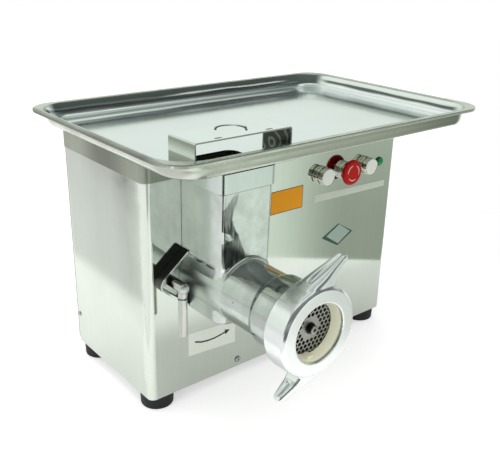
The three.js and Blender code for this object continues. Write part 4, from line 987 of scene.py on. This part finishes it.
def plate_group():
    """Geometry nodes that punch a staggered field of holes, left plain round the hub and the rim."""
    tree, given = geometry_group("perforations", {
        "Pitch": hole_pitch, "Hole Radius": hole_radius, "Hub": hub_radius, "Rim": rim_radius,
        "Depth": punch_depth}, {"Centre": "Vector", "Finish": "Material"})
    count = 15
    span = product(tree, given["Pitch"], count - 1)
    field = node(tree, "GeometryNodeMeshGrid", {
        "Vertices X": count, "Vertices Y": count, "Size X": span, "Size Y": product(tree, span, row_ratio)})
    place = node(tree, "ShaderNodeSeparateXYZ", {0: node(tree, "GeometryNodeInputPosition").outputs[0]})
    row = maths(tree, "DIVIDE", place.outputs["Y"], product(tree, given["Pitch"], row_ratio))
    odd = maths(tree, "FLOORED_MODULO", maths(tree, "ROUND", row, 0), 2)
    shift = node(tree, "ShaderNodeCombineXYZ", {0: product(tree, odd, 0.5, given["Pitch"])})
    stagger = node(tree, "GeometryNodeSetPosition", {
        "Geometry": field.outputs["Mesh"], "Offset": shift.outputs[0]})
    where = node(tree, "GeometryNodeInputPosition")
    away = node(tree, "ShaderNodeVectorMath", {0: where.outputs[0]}, "LENGTH")
    in_hub = maths(tree, "LESS_THAN", away.outputs["Value"], given["Hub"])
    past_rim = maths(tree, "GREATER_THAN", away.outputs["Value"], given["Rim"])
    prune = node(tree, "GeometryNodeDeleteGeometry", {
        "Geometry": stagger.outputs[0], "Selection": maths(tree, "MAXIMUM", in_hub, past_rim)})
    prune.domain = "POINT"
    punch = node(tree, "GeometryNodeMeshCylinder", {
        "Vertices": 18, "Radius": given["Hole Radius"], "Depth": given["Depth"]})
    punches = node(tree, "GeometryNodeInstanceOnPoints", {
        "Points": prune.outputs[0], "Instance": punch.outputs["Mesh"]})
    real = node(tree, "GeometryNodeRealizeInstances", {0: punches.outputs[0]})
    laid = moved(tree, real.outputs[0], rotation=(math.pi / 2, 0, 0), translation=given["Centre"])
    return end_group(tree, combined(tree, "DIFFERENCE", given["Geometry"], laid), given["Finish"])


plate = turned("perforated_plate_ground", neck_x, neck_z, [
    (6.6, -212), (40.6, -212), (41, -211.6), (41, -206.4), (40.6, -206), (6.6, -206)], 128)
run_nodes(plate, plate_group(), {
    "Centre": tuple(from_corner(neck_x, plate_y, neck_z)), "Finish": ground_steel})
soften(plate, 0)
dress(plate, ground_steel, "machine", ("perforated_plate",))
plate.data.set_sharp_from_angle(angle=math.radians(30))

# ---------------------------------------------------------------------------
# Thrust ring: ivory plastic, turned to a cone inside and clamped between the plate and the nut's
# lip. A small lug stands inwards at its bottom.
ivory = metal("ivory_plastic", (0.86, 0.86, 0.66), 0.42, wipes=0.6, metallic=0.0, size=30.0)
ring = turned("thrust_ring_turned", neck_x, neck_z, [
    (34.4, -212.3), (34.0, -212.8), (38.0, -224.3), (38.6, -224.7), (46.4, -224.7), (47, -224.1),
    (47, -212.3)], 128)
lug = deep_prism("thrust_lug", block(neck_x - 7, neck_z - 33.5, 5, 2.5, [0.1, 0.1, 2, 2], 5), -222.5, -212.4)
boolean(ring, "UNION", lug)
soften(ring, 0.6, 3, 35)
dress(ring, ivory, "thrust_ring", ("thrust_ring",))

# ---------------------------------------------------------------------------
# Ring nut: a light satin aluminium casting that screws over the muzzle, with two curved arms for
# turning it by hand. Arms and ring are one casting, so every inside corner is a soft fillet.
arm_lean = math.radians(33.5)
arm_tip_along = 88.6
arm_front, arm_back = -220.0, -204.0
flute_y, flute_half, flute_steps = -211.5, 3.6, 8


def arm_point(along, off, y):
    """A point by its distance along an arm and its distance off the nut's axis, square to the arm."""
    return (neck_x + along * math.cos(arm_lean) - off * math.sin(arm_lean), y,
            neck_z + along * math.sin(arm_lean) + off * math.cos(arm_lean))


def arm_section(along, inner, outer, front, back, corner, steps):
    """One round-cornered section across the arm."""
    return [arm_point(along, off, y) for off, y in rounded(inner, outer, front, back, corner, steps)]


def one_arm(name):
    """A cast arm: its outer edge runs on from the rim, its inner edge leaves the ring in a fillet."""
    sections = []
    for along, inner, outer, pinch in (
            (10, 28, 56.5, -8.0), (20, 29, 56.5, -8.0), (32, 29.5, 55.4, -7.6), (42, 30, 53.6, -6.6),
            (49, 31.4, 52.3, -5.3), (53, 33.6, 51.5, -4.4), (57, 35.4, 50.8, -3.5), (62, 36.2, 50.0, -2.5),
            (70, 36.4, 48.9, -1.2), (78, 36.6, 47.7, 0.0), (83, 37.1, 46.8, 0.8), (86.2, 38.2, 45.3, 1.8),
            (88.0, 39.8, 43.5, 3.0), (arm_tip_along, 41, 42.2, 4.5)):
        front, back = arm_front + pinch, arm_back - pinch
        corner = min(outer - inner, back - front) * 0.3
        sections.append(arm_section(along, inner, outer, front, back, corner, 5))
    return loft(name, sections)


def one_flute(on_outer, start, end):
    """A cutter for the shallow hollow along an arm's outer or inner edge."""
    loops = []
    for step in range(flute_steps + 1):
        along = start + (end - start) * step / flute_steps
        narrow = flute_half * math.sin(math.pi * (0.12 + 0.80 * step / flute_steps)) ** 0.5
        surface = 50.2 - 0.13 * (along - 56) if on_outer else 36.4
        reach_out = 2.0 if on_outer else -1.6
        near, far = sorted((surface - reach_out, surface + 4 * reach_out))
        loops.append(arm_section(along, near, far, flute_y - narrow, flute_y + narrow,
                                 min(narrow * 0.9, (far - near) * 0.45), 4))
    return loft("arm_flute", loops)


nut = turned("ring_nut_cast", neck_x, neck_z, [
    (38.8, -229.2), (39.1, -229.5), (55.0, -229.5), (55.3, -229.3), (58.8, -225.7), (59, -225.2),
    (59, -195.0), (58.2, -194), (49.4, -194), (49, -194.6), (49, -225), (38.8, -225)], 160)
axle = Matrix.Translation(from_corner(neck_x, 0, neck_z))
half_turn = axle @ Matrix.Rotation(math.pi, 4, "Y") @ axle.inverted()
arms, flutes = [], []
for name in ("nut_arm", "nut_arm_opposite"):
    made = [one_arm(name), one_flute(True, 30, 85), one_flute(False, 60, 84)]
    if arms:
        for piece in made:
            piece.data.transform(half_turn)
    boolean(made[0], "DIFFERENCE", turned("arm_core", neck_x, neck_z, [
        (0, -235), (52, -235), (52, -190), (0, -190)]))
    arms.append(made[0])
    flutes += made[1:]
boolean(nut, "UNION", *arms)
boolean(nut, "DIFFERENCE", *flutes)
skin_over = nut.modifiers.new("cast_skin", "REMESH")
skin_over.mode = "VOXEL"
skin_over.voxel_size = 0.85 * MM
skin_over.use_smooth_shade = True
relax = nut.modifiers.new("fillets", "SMOOTH")
relax.factor = 0.5
relax.iterations = 14
settle(nut)
nut_bright = metal("bright_cast_aluminium", (0.80, 0.835, 0.82), 0.17, wipes=0.8, ripple=0.16, size=22.0,
                   metallic=0.9)
nut_satin = metal("satin_aluminium", (0.87, 0.90, 0.875), 0.24, wipes=0.8, ripple=0.16, size=22.0,
                  metallic=0.55)
soften(nut, 0)
dress(nut, nut_bright, "ring_nut", ("ring_nut",))
second_finish(nut, nut_satin, lambda face: face.normal.y < -0.93)

# ---------------------------------------------------------------------------
# Clamp: a bent steel strap on the throat's left face holds the head while a cam on the spindle
# presses into it. The spindle comes through the front panel and carries a hanging round handle.
strap_radius, strap_sheet = 12.0, 3.0
strap_x, strap_z = spindle_x - 8, spindle_z - 2
strap_end = throat_left - 0.65
splay = math.radians(39)
strap_steps = 16


def strap_side(radius):
    """One side of the strap's outline: upper leg end, bend, lower leg end."""
    tangent_x = strap_x - radius * math.sin(splay)
    reach = radius * math.cos(splay) + (strap_end - tangent_x) * math.tan(splay)
    points = [(strap_end, strap_z + reach)]
    start = math.pi / 2 + splay
    for i in range(strap_steps + 1):
        angle = start + (2 * math.pi - 2 * start) * i / strap_steps
        points.append(around(strap_x, strap_z, radius, angle))
    return points + [(strap_end, strap_z - reach)]


# Painted reflection: the strap's faces are near black, standing for the dark room they mirror.
dark_strap = metal("strap_steel", (0.085, 0.08, 0.07), 0.30, grain=0.6, wipes=0.7)
strap_edge = metal("strap_cut_edge", (0.80, 0.82, 0.79), 0.25, wipes=0.6)
strap = deep_prism("clamp_strap_bent", strap_side(strap_radius)
                   + strap_side(strap_radius - strap_sheet)[::-1], -17, -0.5)
soften(strap, 0.5, 2)
dress(strap, dark_strap, "machine", ("clamp_strap",))
second_finish(strap, strap_edge, lambda face: face.normal.y < -0.6)
dress_node("clamp_bush", zinc)

handle_y = -38.5
cam_radius, cam_lift, cam_turn, cam_steps = 7.7, 3.7, math.radians(129), 48
spindle = turned("clamp_spindle_turned", spindle_x, spindle_z, [
    (0, -46), (4.5, -46), (6.2, -45.3), (7.2, -43.6), (7.5, -41.5), (7.5, 14), (0, 14)], 64)
elbow = turned_up("elbow", spindle_x, handle_y, [
    (0, 175), (5.7, 175), (6.3, 175.6), (6.3, 189), (0, 189)], 48)
lobe = []
for i in range(cam_steps):
    angle = 2 * math.pi * i / cam_steps
    radius = cam_radius + cam_lift * max(0.0, math.cos(angle - cam_turn))
    lobe.append(around(spindle_x, spindle_z, radius, angle))
boolean(spindle, "UNION", elbow, deep_prism("cam", lobe, -8, -4))
soften(spindle, 0.5, 3, 35)
chrome_turned = metal("chrome_turned", (0.52, 0.54, 0.50), 0.17, wipes=1.0, size=40.0)
dress(spindle, chrome_turned, "clamp", ("clamp_spindle",))
handle = turned_up("clamp_handle_turned", spindle_x, handle_y, [
    (0, 117), (5.2, 117), (6.0, 117.4), (6.3, 118.2), (6.3, 172.2), (5.6, 172.9), (3.9, 173.1), (3.9, 174.7),
    (0, 174.7)])
soften(handle, 0)
dress(handle, chrome_turned, "clamp", ("clamp_handle",))

# ---------------------------------------------------------------------------
# Loading tray: pressed from bright stainless, 600 by 400 mm, with a sloping wall, a soft bottom
# bend and a flat lip turned down at its edge. It lies loose on the top frame over the throat.
tray_left, tray_front = -30.0, -109.0
tray_width, tray_length = 600.0, 400.0
tray_under = 352.6
lip_top = 379.6
tray_sheet = 1.5
lip_width = 9.0
wall_run = 3.0
tray_cove = 15.0
front_cove = 10.0
soft_run, soft_rise = 26.0, 1.5                      # the floor dishes up a little before the cove
floor_inset = lip_width + wall_run + tray_cove + soft_run
lip_corner, wall_corner = 42, 60
wall_slope = math.radians(83)
soft_steps, cove_steps = 6, 10


def tray_loop(inset, z):
    """The tray's outline pulled in by an inset, at a height; the front cove is tighter, beside the hole."""
    past_wall = max(0.0, inset - lip_width - wall_run)
    front = inset - past_wall + past_wall * front_cove / (tray_cove + soft_run)
    corner = (lip_corner if inset < lip_width / 2 else wall_corner) - inset
    outline = rounded(tray_left + inset, tray_left + tray_width - inset, tray_front + front,
                      tray_front + tray_length - inset, max(corner, 2), 18)
    return [(x, y, z) for x, y in outline]


def cove(under_side):
    """Insets and heights from the flat floor up through the dished edge and the cove to the wall."""
    floor_level = tray_under if under_side else tray_under + tray_sheet
    radius = tray_cove if under_side else tray_cove - tray_sheet
    line = []
    for i in range(soft_steps + 1):
        t = i / soft_steps
        line.append((floor_inset - soft_run * t, floor_level + soft_rise * t * t))
    start = math.atan(2 * soft_rise / soft_run)
    for i in range(1, cove_steps + 1):
        angle = start + (wall_slope - start) * i / cove_steps
        line.append((floor_inset - soft_run - radius * (math.sin(angle) - math.sin(start)),
                     floor_level + soft_rise + radius * (math.cos(start) - math.cos(angle))))
    return line


hole = rounded(60.5, 135.0, -84.5, -6.0, [7, 9, 15, 9], 18)
hole_edges = [[(x, y, z) for x, y in hole] for z in (tray_under + tray_sheet, tray_under)]
lip = [(lip_width + 1.0, -3.0), (lip_width - 0.2, -1.7), (2.2, -1.5), (1.6, -1.9), (1.4, -4.4), (0.5, -4.5),
       (0.0, -4.0), (0.0, -1.4), (0.4, -0.4), (1.4, 0.0), (lip_width - 0.6, 0.0), (lip_width + 0.8, -0.5),
       (lip_width + 2.0, -2.2)]
section = cove(True) + [(inset, lip_top + rise) for inset, rise in lip] + cove(False)[::-1]
tray = loft("loading_tray_pressed", hole_edges + [tray_loop(inset, z) for inset, z in section], True)
soften(tray, 0)
tray_steel = metal("tray_mirror_steel", (0.735, 0.785, 0.765), 0.12, wipes=0.5, ripple=0.16, size=5.0)
dress(tray, tray_steel, "tray", ("tray",))


def painted_reflection_bands(material, stops, across, wall, lean, ends, glint):
    """Painted reflections: long dark and bright bands along one wall of the tray; stops are height,
    darkening, brightening.

    The wall is at a place on the axis across; ends are where the bands fade in and out along it, and glint is
    where the highest bright band comes in."""
    tree = material.node_tree
    along = "X" if across == "Y" else "Y"
    here, place = object_place(tree)
    grain = node(tree, "ShaderNodeMapping", {
        "Vector": here, "Scale": [band_wave if axis == along else band_fineness for axis in "XYZ"]})
    wave = product(tree, maths(tree, "SUBTRACT", noise(tree, grain.outputs[0], 1.0, 2.0), 0.5), wave_height)
    depth = product(tree, maths(tree, "SUBTRACT", place[across], at(across, wall)), lean)
    height = maths(tree, "ADD", maths(tree, "ADD", place["Z"], depth), wave)
    band = course(tree, height, "Z", [
        (level, dark, bright, 1.0 if level > glint_level else 0.0) for level, dark, bright in stops])
    gates = []
    for axis, (start, end), shut, full in (
            (across, (wall - band_reach, wall - band_full), 0.0, 1.0), (along, ends[:2], 0.0, 1.0),
            (along, ends[2:], 1.0, 0.0), (along, glint, glint_faint, 1.0)):
        gates.append(map_range(tree, place[axis], at(axis, start), at(axis, end), shut, full, True))
    *field, lit = gates
    field = product(tree, *field)
    faint = product(tree, band["Blue"], maths(tree, "SUBTRACT", 1.0, lit))
    dark = product(tree, band["Red"], field)
    bright = product(tree, band["Green"], maths(tree, "SUBTRACT", 1.0, faint), field)
    deepen(material, maths(tree, "ADD", maths(tree, "SUBTRACT", 1.0, dark), product(tree, bright, band_lift)))
    share_sheen(material, bright)


glint_level, glint_faint = 363.0, 0.12
band_reach, band_full, band_lift = 95, 62, 0.25
band_wave, band_fineness, wave_height = 9, 60, 0.006
# Painted reflections on the back wall, then on the right wall.
painted_reflection_bands(tray_steel, [
    (326.0, 0.0, 0.0), (331.0, 0.10, 0.0), (334.0, 0.0, 0.05), (336.0, 0.10, 0.0), (338.5, 0.28, 0.0),
    (340.5, 0.22, 0.0), (342.5, 0.0, 0.35), (344.5, 0.0, 0.40), (346.5, 0.15, 0.0), (348.5, 0.40, 0.0),
    (350.5, 0.28, 0.0), (352.8, 0.05, 0.0), (354.8, 0.28, 0.0), (356.5, 0.02, 0.05), (358.5, 0.0, 0.15),
    (361.0, 0.05, 0.0), (363.2, 0.55, 0.0), (366.0, 0.60, 0.0), (367.6, 0.25, 0.25), (369.0, 0.0, 0.9),
    (370.4, 0.0, 0.35), (372.0, 0.22, 0.0), (380.0, 0.16, 0.0)],
    "Y", 279.0, 0.45, (-40.0, -30.0, 455.0, 500.0), (190.0, 270.0))
painted_reflection_bands(tray_steel, [
    (318.0, 0.0, 0.0), (325.0, 0.20, 0.0), (333.0, 0.12, 0.0), (338.0, 0.0, 0.12), (346.0, 0.0, 0.25),
    (350.0, 0.0, 0.45), (357.0, 0.0, 0.55), (361.0, 0.0, 0.45), (363.0, 0.25, 0.0), (364.8, 0.84, 0.0),
    (368.4, 0.84, 0.0), (370.4, 0.12, 0.0), (373.0, 0.0, 0.0), (377.0, 0.0, 0.0), (380.0, 0.15, 0.0)],
    "X", 558.0, 0.55, (-75.0, -55.0, 225.0, 262.0), (-100.0, -90.0))
tray_satin = metal("tray_satin_steel", (0.56, 0.585, 0.51), 0.26, wipes=2.2, ripple=0.10, size=16.0)
# Painted shade on the tray's outside: its left wall is darker behind the front corner, and its front wall
# grows darker towards the right end, below the lip's top.
paint_shade_and_sheen(tray_satin, [
    (-109, 0, 0), (-96, 0, 0), (-72, 0.45, 0), (-50, 0.62, 0), (60, 0.60, 0), (140, 0.54, 0),
    (291, 0.58, 0)], [(340, 1, 1), (382, 1, 1)], "X", -23.4, wander=0.0)
paint_shade_and_sheen(tray_satin, [
    (-30, 0, 0), (300, 0, 0), (380, 0.12, 0), (450, 0.35, 0), (520, 0.55, 0), (570, 0.65, 0)], [
    (340, 1, 1), (374, 1, 1), (376.5, 0.2, 1), (382, 0, 1)], "Y", -95.0, along="X", wander=0.0)
lip_inner = lip_width + 0.6
floor_low = from_corner(tray_left + lip_inner, tray_front + lip_width + 2.4, 0)
floor_high = from_corner(tray_left + tray_width - lip_inner, tray_front + tray_length - lip_inner, 0)
lip_edge = at("Z", lip_top - 1.5)
second_finish(tray, tray_satin, lambda face: face.normal.z < -0.02 or face.center.z > lip_edge or not all(
    floor_low[k] < face.center[k] < floor_high[k] for k in range(2)))

# Collar under the tray: a steel strip folded round three sides of the throat, fixed to the tray's
# floor. It drops over the throat and keeps the tray in place.
collar_air, collar_sheet = 1.0, 2.0
collar_steel = metal("collar_steel", (0.60, 0.66, 0.63), 0.14, grain=0.2, wipes=0.6, ripple=0.05, size=14.0)


def collar_outline(out):
    """The throat's outline at its top, let out by an amount."""
    return rounded(throat_left - out, throat_right + out, throat_front - out, throat_back + out,
                   [throat_corner + out, throat_corner + out, 1 + out, 1 + out], 14)


collar = upright_prism("tray_collar_folded", collar_outline(collar_air + collar_sheet),
                       skirt_bottom, skirt_top)
boolean(collar, "DIFFERENCE", upright_prism("collar_inside", collar_outline(collar_air), 320, 360),
        upright_prism("collar_back", rounded(30, 170, -2.8, 30, 0, 1), 320, 360))
soften(collar, 0.4)
dress(collar, collar_steel, "tray", ("tray_collar",))
# Painted shade: the collar's underside takes the same dark finish.
second_finish(collar, dark_shade_finish, lambda face: face.normal.z < -0.5)

# ---------------------------------------------------------------------------
# Hand guard: a bright sheet folded into a low tunnel over the throat's mouth, open front and back,
# with two oblong slots near its front edge and a bent bow strip to lift it by.
hood_left, hood_right = 20.5, 173.5
hood_front, hood_back = -82.7, -26.7
hood_foot, hood_top = 354.4, 395.4
hood_bend, fold_steps = 3.5, 8
slot_xs = (59, 139)
hood_steel = metal("guard_steel", (0.78, 0.835, 0.81), 0.15, wipes=0.6, ripple=0.2, size=7.0)


def hood_outline(inset):
    """The guard's arch in x, z."""
    radius = max(hood_bend - inset, 0.6)
    x0, x1, top = hood_left + inset, hood_right - inset, hood_top - inset
    points = [(x0, hood_foot)]
    for middle, start in ((x0 + radius, math.pi), (x1 - radius, math.pi / 2)):
        for i in range(fold_steps + 1):
            angle = start - math.pi / 2 * i / fold_steps
            points.append(around(middle, top - radius, radius, angle))
    return points + [(x1, hood_foot)]


hood = deep_prism("hand_guard_folded", hood_outline(0) + hood_outline(wall)[::-1], hood_front, hood_back)
boolean(hood, "DIFFERENCE", *[upright_prism("guard_slot", block(x, hood_front + 6, 5.5, 2, 2, 6),
                                            hood_top - 6, hood_top + 6) for x in slot_xs])
soften(hood, 0.25, 2)
dress(hood, hood_steel, "hood", ("hood",))
hood_side = metal("guard_side_steel", (0.84, 0.86, 0.77), 0.22, wipes=0.8, ripple=0.1, size=12.0)
# The guard's left side has its own paler, rougher finish, darker near its foot and towards its top.
deepen_by_height(hood_side, 376.5, 374.8, 0.42)
deepen_by_height(hood_side, 380, 394, 0.55)
hood_edge = metal("guard_cut_edge", (0.40, 0.42, 0.38), 0.4, wipes=0.6)

# Painted shade: the far wall's inside face is near black, as the inside of the tunnel lies in shade, with
# wide lighter rings painted round one spot.
swirl_middle = from_corner(0, -46, 366)
hood_inside_shade = metal("guard_inside_painted_shade", (0.05, 0.055, 0.042), 0.22, wipes=0.6, ripple=0.5, size=22.0)
tree, shader = opened(hood_inside_shade)
here = tree.nodes.new("ShaderNodeTexCoord").outputs["Object"]
from_spot = node(tree, "ShaderNodeVectorMath", {0: here, 1: swirl_middle}, "SUBTRACT")
swirls = node(tree, "ShaderNodeTexWave", {
    "Vector": from_spot.outputs[0], "Scale": 26.0, "Distortion": 9.0, "Detail Scale": 0.9})
swirls.wave_type = "RINGS"
swirls.rings_direction = "X"
bright_rings = map_range(tree, swirls.outputs["Fac"], 0.62, 1.0, 0.0, 0.12, True)
before = shader.inputs["Base Color"].links[0].from_socket
lighten = node(tree, "ShaderNodeVectorMath", {0: before, 1: bright_rings})
tree.links.new(lighten.outputs[0], shader.inputs["Base Color"])
hood_middle = at("X", (hood_left + hood_right) / 2)
second_finish(hood, hood_side, lambda face: face.normal.x < -0.8 and face.center.x < hood_middle)
second_finish(hood, hood_edge, lambda face: face.normal.y < -0.9)
second_finish(hood, hood_inside_shade, lambda face: face.normal.x < -0.8 and face.center.x >= hood_middle)

bow_steps = 28
bow_turn = math.radians(-37)
bow_x, bow_y, bow_foot = 95.0, -54.7, hood_top + 0.3
bow_half, bow_rise, bow_wide, bow_sheet, bow_side = 21.0, 8.0, 9.0, 2.0, 3.2
bow_loops = []
for i in range(bow_steps + 1):
    angle = math.pi * i / bow_steps
    lift = math.sin(angle) ** 0.7
    outside = (-bow_half * math.cos(angle), bow_rise * lift)
    inside = (-(bow_half - bow_side) * math.cos(angle), (bow_rise - bow_sheet) * lift)
    loop = []
    for (along, height), side in ((outside, 1), (outside, -1), (inside, -1), (inside, 1)):
        across = side * bow_wide / 2 * (0.72 + 0.28 * math.sin(angle))
        loop.append((bow_x + along * math.cos(bow_turn) - across * math.sin(bow_turn),
                     bow_y + along * math.sin(bow_turn) + across * math.cos(bow_turn), bow_foot + height))
    bow_loops.append(loop)
bow = loft("guard_bow_handle", bow_loops)
soften(bow, 0.5, 3, 40)
dress(bow, tray_steel, "hood", ("hood_handle",))
bow.visible_glossy = False

# ---------------------------------------------------------------------------
# Push buttons: chromed bezels and caps with a narrow neck between them; the start and reverse caps
# have pale enamelled faces. The emergency stop has a red moulded mushroom with three pale marks.
chrome_button = metal("button_chrome", (0.60, 0.59, 0.52), 0.13, wipes=0.6, size=30.0)
pale_face = metal("pale_cap_face", (0.82, 0.87, 0.80), 0.35, wipes=0.4, metallic=0.0, size=30.0)
for x, who, bezel in zip(button_xs, ("start", "stop", "reverse"), (4.5, 7.0, 4.5)):
    body = turned(who + "_bezel", x, button_row_z, [
        (0, -0.9), (12.6, -0.9), (12.6, -bezel + 0.3), (12.9, -bezel), (14.0, -bezel), (14.5, -bezel + 0.5),
        (14.6, -bezel + 1.1), (14.6, -0.3), (10.9, -0.3), (10.9, 12), (0, 12)], 72)
    boolean(body, "UNION", deep_prism(who + "_contacts", block(x, button_row_z, 14, 14, 1, 3), 11, 40))
    boolean(body, "DIFFERENCE", turned(who + "_well", x, button_row_z, [
        (0, -5), (8.3, -5), (8.3, 9), (0, 9)], 48))
    soften(body, 0)
    dress(body, chrome_button, "machine", (who + "_button_body",))
    dress_node(who + "_locknut", zinc)
for x, who in ((button_xs[0], "start"), (button_xs[2], "reverse")):
    cap = turned(who + "_cap_chrome", x, button_row_z, [
        (0, -15.6), (12.9, -15.6), (13.3, -16), (13.7, -15.9), (14.2, -15.2), (14.2, -8.9), (13.7, -8.3),
        (12.3, -8.2), (12.3, -4.1), (8, -4.1), (8, -1), (0, -1)], 72)
    soften(cap, 0)
    dress(cap, chrome_button, who + "_cap", (who + "_button_cap",))
    disc = turned(who + "_cap_face", x, button_row_z, [
        (0, -15.95), (12.4, -15.95), (12.8, -15.65), (12.8, -15.62), (0, -15.62)], 72)
    soften(disc, 0)
    dress(disc, pale_face, who + "_cap")

stop_x = button_xs[1]
stem = turned("stop_stem_chrome", stop_x, button_row_z, [
    (0, -19), (4, -19), (4, -14.4), (11.6, -14.2), (12.3, -13.6), (12.3, -6.6), (8, -6.6), (8, -1),
    (0, -1)], 72)
soften(stem, 0)
dress(stem, chrome_button, "stop_stem", ("stop_stem",))
red = metal("red_moulding", (0.46, 0.006, 0.003), 0.28, wipes=0.4, metallic=0.0, size=30.0)
opened(red)[1].inputs["Specular IOR Level"].default_value = 0.16
mushroom = turned("stop_mushroom_red", stop_x, button_row_z, [
    (0, -21.55), (8.5, -21.55), (9.5, -21.6), (14.5, -21.9), (16.5, -21.9), (18.6, -21.2), (19.9, -19.8),
    (20.4, -18.2), (20.2, -16.6), (19.0, -14.8), (17.5, -14.4), (4.3, -14.4), (4.3, -18.7), (0, -18.7)], 96)
soften(mushroom, 0)
dress(mushroom, red, "stop_mushroom", ("stop_mushroom",))
mark_paint = metal("pale_mark_paint", (0.85, 0.62, 0.58), 0.4, wipes=0.5, metallic=0.0, size=40.0)
mark_radius, mark_half, mark_front, mark_back = 12.2, 0.75, -22.0, -21.5
mark_sweep, mark_steps = 84, 16
mark_points, mark_faces = [], []
for start in (98, 218, 338):
    loops = []
    for i in range(mark_steps + 1):
        angle = math.radians(start + mark_sweep * i / mark_steps)
        width = mark_half * math.sin(math.pi * (0.12 + 0.76 * i / mark_steps))
        near_x, near_z = around(stop_x, button_row_z, mark_radius - width, angle)
        far_x, far_z = around(stop_x, button_row_z, mark_radius + width, angle)
        loops.append([(near_x, mark_front, near_z), (far_x, mark_front, far_z), (far_x, mark_back, far_z),
                      (near_x, mark_back, near_z)])
    mark_faces += skin(loops, base=len(mark_points))
    mark_points += [point for loop in loops for point in loop]
marks = put("stop_marks", mark_points, mark_faces)
dress(marks, mark_paint, "stop_mushroom")

# Lamp: a domed lens moulded in dark green, snapped into a small body that a nut holds behind the panel; the
# body is painted a darker green, standing for shade round the lens's rim.
green = metal("green_lens", (0.008, 0.27, 0.075), 0.10, wipes=0.3, metallic=0.0, size=40.0)
lens = turned("lamp_lens_dome", lamp_x, button_row_z, [
    (0, -6.5), (2.2, -6.35), (4.2, -5.6), (5.6, -4.4), (6.4, -3.0), (6.5, -1.9), (0, -1.9)], 48)
soften(lens, 0)
dress(lens, green, "machine", ("lamp_lens",))
lamp_rim_shade = metal("lamp_body_painted_shade", (0.004, 0.05, 0.014), 0.2, wipes=0.3, metallic=0.0, size=40.0)
dress_node("lamp_body", lamp_rim_shade)
dress_node("lamp_locknut", zinc)

# ---------------------------------------------------------------------------
# Labels on the front panel: thin vinyl, bare but for the curved arrow that shows which way the
# ring nut turns.
vinyls = {}
for name, colour, roughness in (
        ("white_vinyl", (0.86, 0.90, 0.80), 0.45), ("orange_vinyl", (0.88, 0.36, 0.004), 0.45),
        ("black_vinyl", (0.03, 0.03, 0.03), 0.5), ("strip_vinyl", (0.60, 0.66, 0.55), 0.4),
        ("green_plate_edge", (0.012, 0.075, 0.045), 0.35)):
    vinyls[name] = metal(name, colour, roughness, wipes=0.4, metallic=0.0, size=14.0)
for name in ("white_vinyl", "orange_vinyl", "black_vinyl"):
    opened(vinyls[name])[1].inputs["Specular IOR Level"].default_value = 0.2
vinyls["mint_plate"] = metal("mint_plate", (0.36, 0.46, 0.40), 0.30, wipes=0.8, metallic=0.3, size=14.0)

arrow_half, arrow_head, arrow_reach = 1.25, 4.6, 9
arrow_bow = ((76.9, 71.8), (88.1, 67.7), (99.4, 66.2), (110.9, 65.9), (122.5, 67.4), (131.9, 69.2))
runs = [Vector((x1 - x0, z1 - z0)).normalized() for (x0, z0), (x1, z1) in zip(arrow_bow, arrow_bow[1:])]
arrow = list(zip(arrow_bow, runs + runs[-1:]))
upper_side = [(x - run.y * arrow_half, z + run.x * arrow_half) for (x, z), run in arrow]
lower_side = [(x + run.y * arrow_half, z - run.x * arrow_half) for (x, z), run in arrow]
(tip_x, tip_z), run = arrow[-1]
arrow_tip = [(tip_x - run.y * arrow_head, tip_z + run.x * arrow_head),
             (tip_x + run.x * arrow_reach, tip_z + run.y * arrow_reach),
             (tip_x + run.y * arrow_head, tip_z - run.x * arrow_head)]
for name, vinyl, front, back, corners in (
        ("arrow_label", "white_vinyl", -0.15, 0, [(65.5, 51.7), (151, 46), (151, 82.6), (65.5, 88.6)]),
        ("orange_plate_edge", "black_vinyl", -0.12, 0, [(214, 238), (279, 238), (279, 274), (214, 274)]),
        ("orange_plate", "orange_vinyl", -0.2, -0.1, [(215, 239), (278, 239), (278, 273), (215, 273)]),
        ("button_strip", "strip_vinyl", -0.15, 0, [(305, 239.5), (469, 236.4), (469, 246.7), (305, 251.7)]),
        ("lozenge_edge", "green_plate_edge", -0.3, 0, [
            (326.9, 173.9), (364.3, 152.5), (398.8, 170.7), (363.9, 191.4)]),
        ("lozenge_plate", "mint_plate", -0.4, -0.25, [
            (337.1, 174.7), (365.4, 156.0), (392.4, 171.7), (365.4, 190.0)]),
        ("arrow_mark", "black_vinyl", -0.22, -0.14, upper_side + arrow_tip + lower_side[::-1])):
    dress(deep_prism(name, corners, front, back), vinyls[vinyl], "machine")

# ---------------------------------------------------------------------------
# Drive inside the casing: grey enamelled gearbox, motor and capacitor, oiled gears and bearings, a
# zinc-plated cradle and a black contactor. Little of it shows but through the louvres.
enamel = metal("grey_enamel", (0.20, 0.23, 0.25), 0.4, wipes=0.8, metallic=0.0, size=12.0)
for name in ("gearbox_housing", "gearbox_cover", "motor_stator", "motor_end_bell", "capacitor"):
    dress_node(name, enamel)
for name in ("output_shaft", "output_bearing_front", "output_bearing_rear", "output_gear", "countershaft",
             "counter_gear", "motor_pinion"):
    dress_node(name, ground_steel)
dress_node("motor_rotor", zinc)
dress_node("drive_cradle", zinc)
dress_node("contactor", plastic_black)
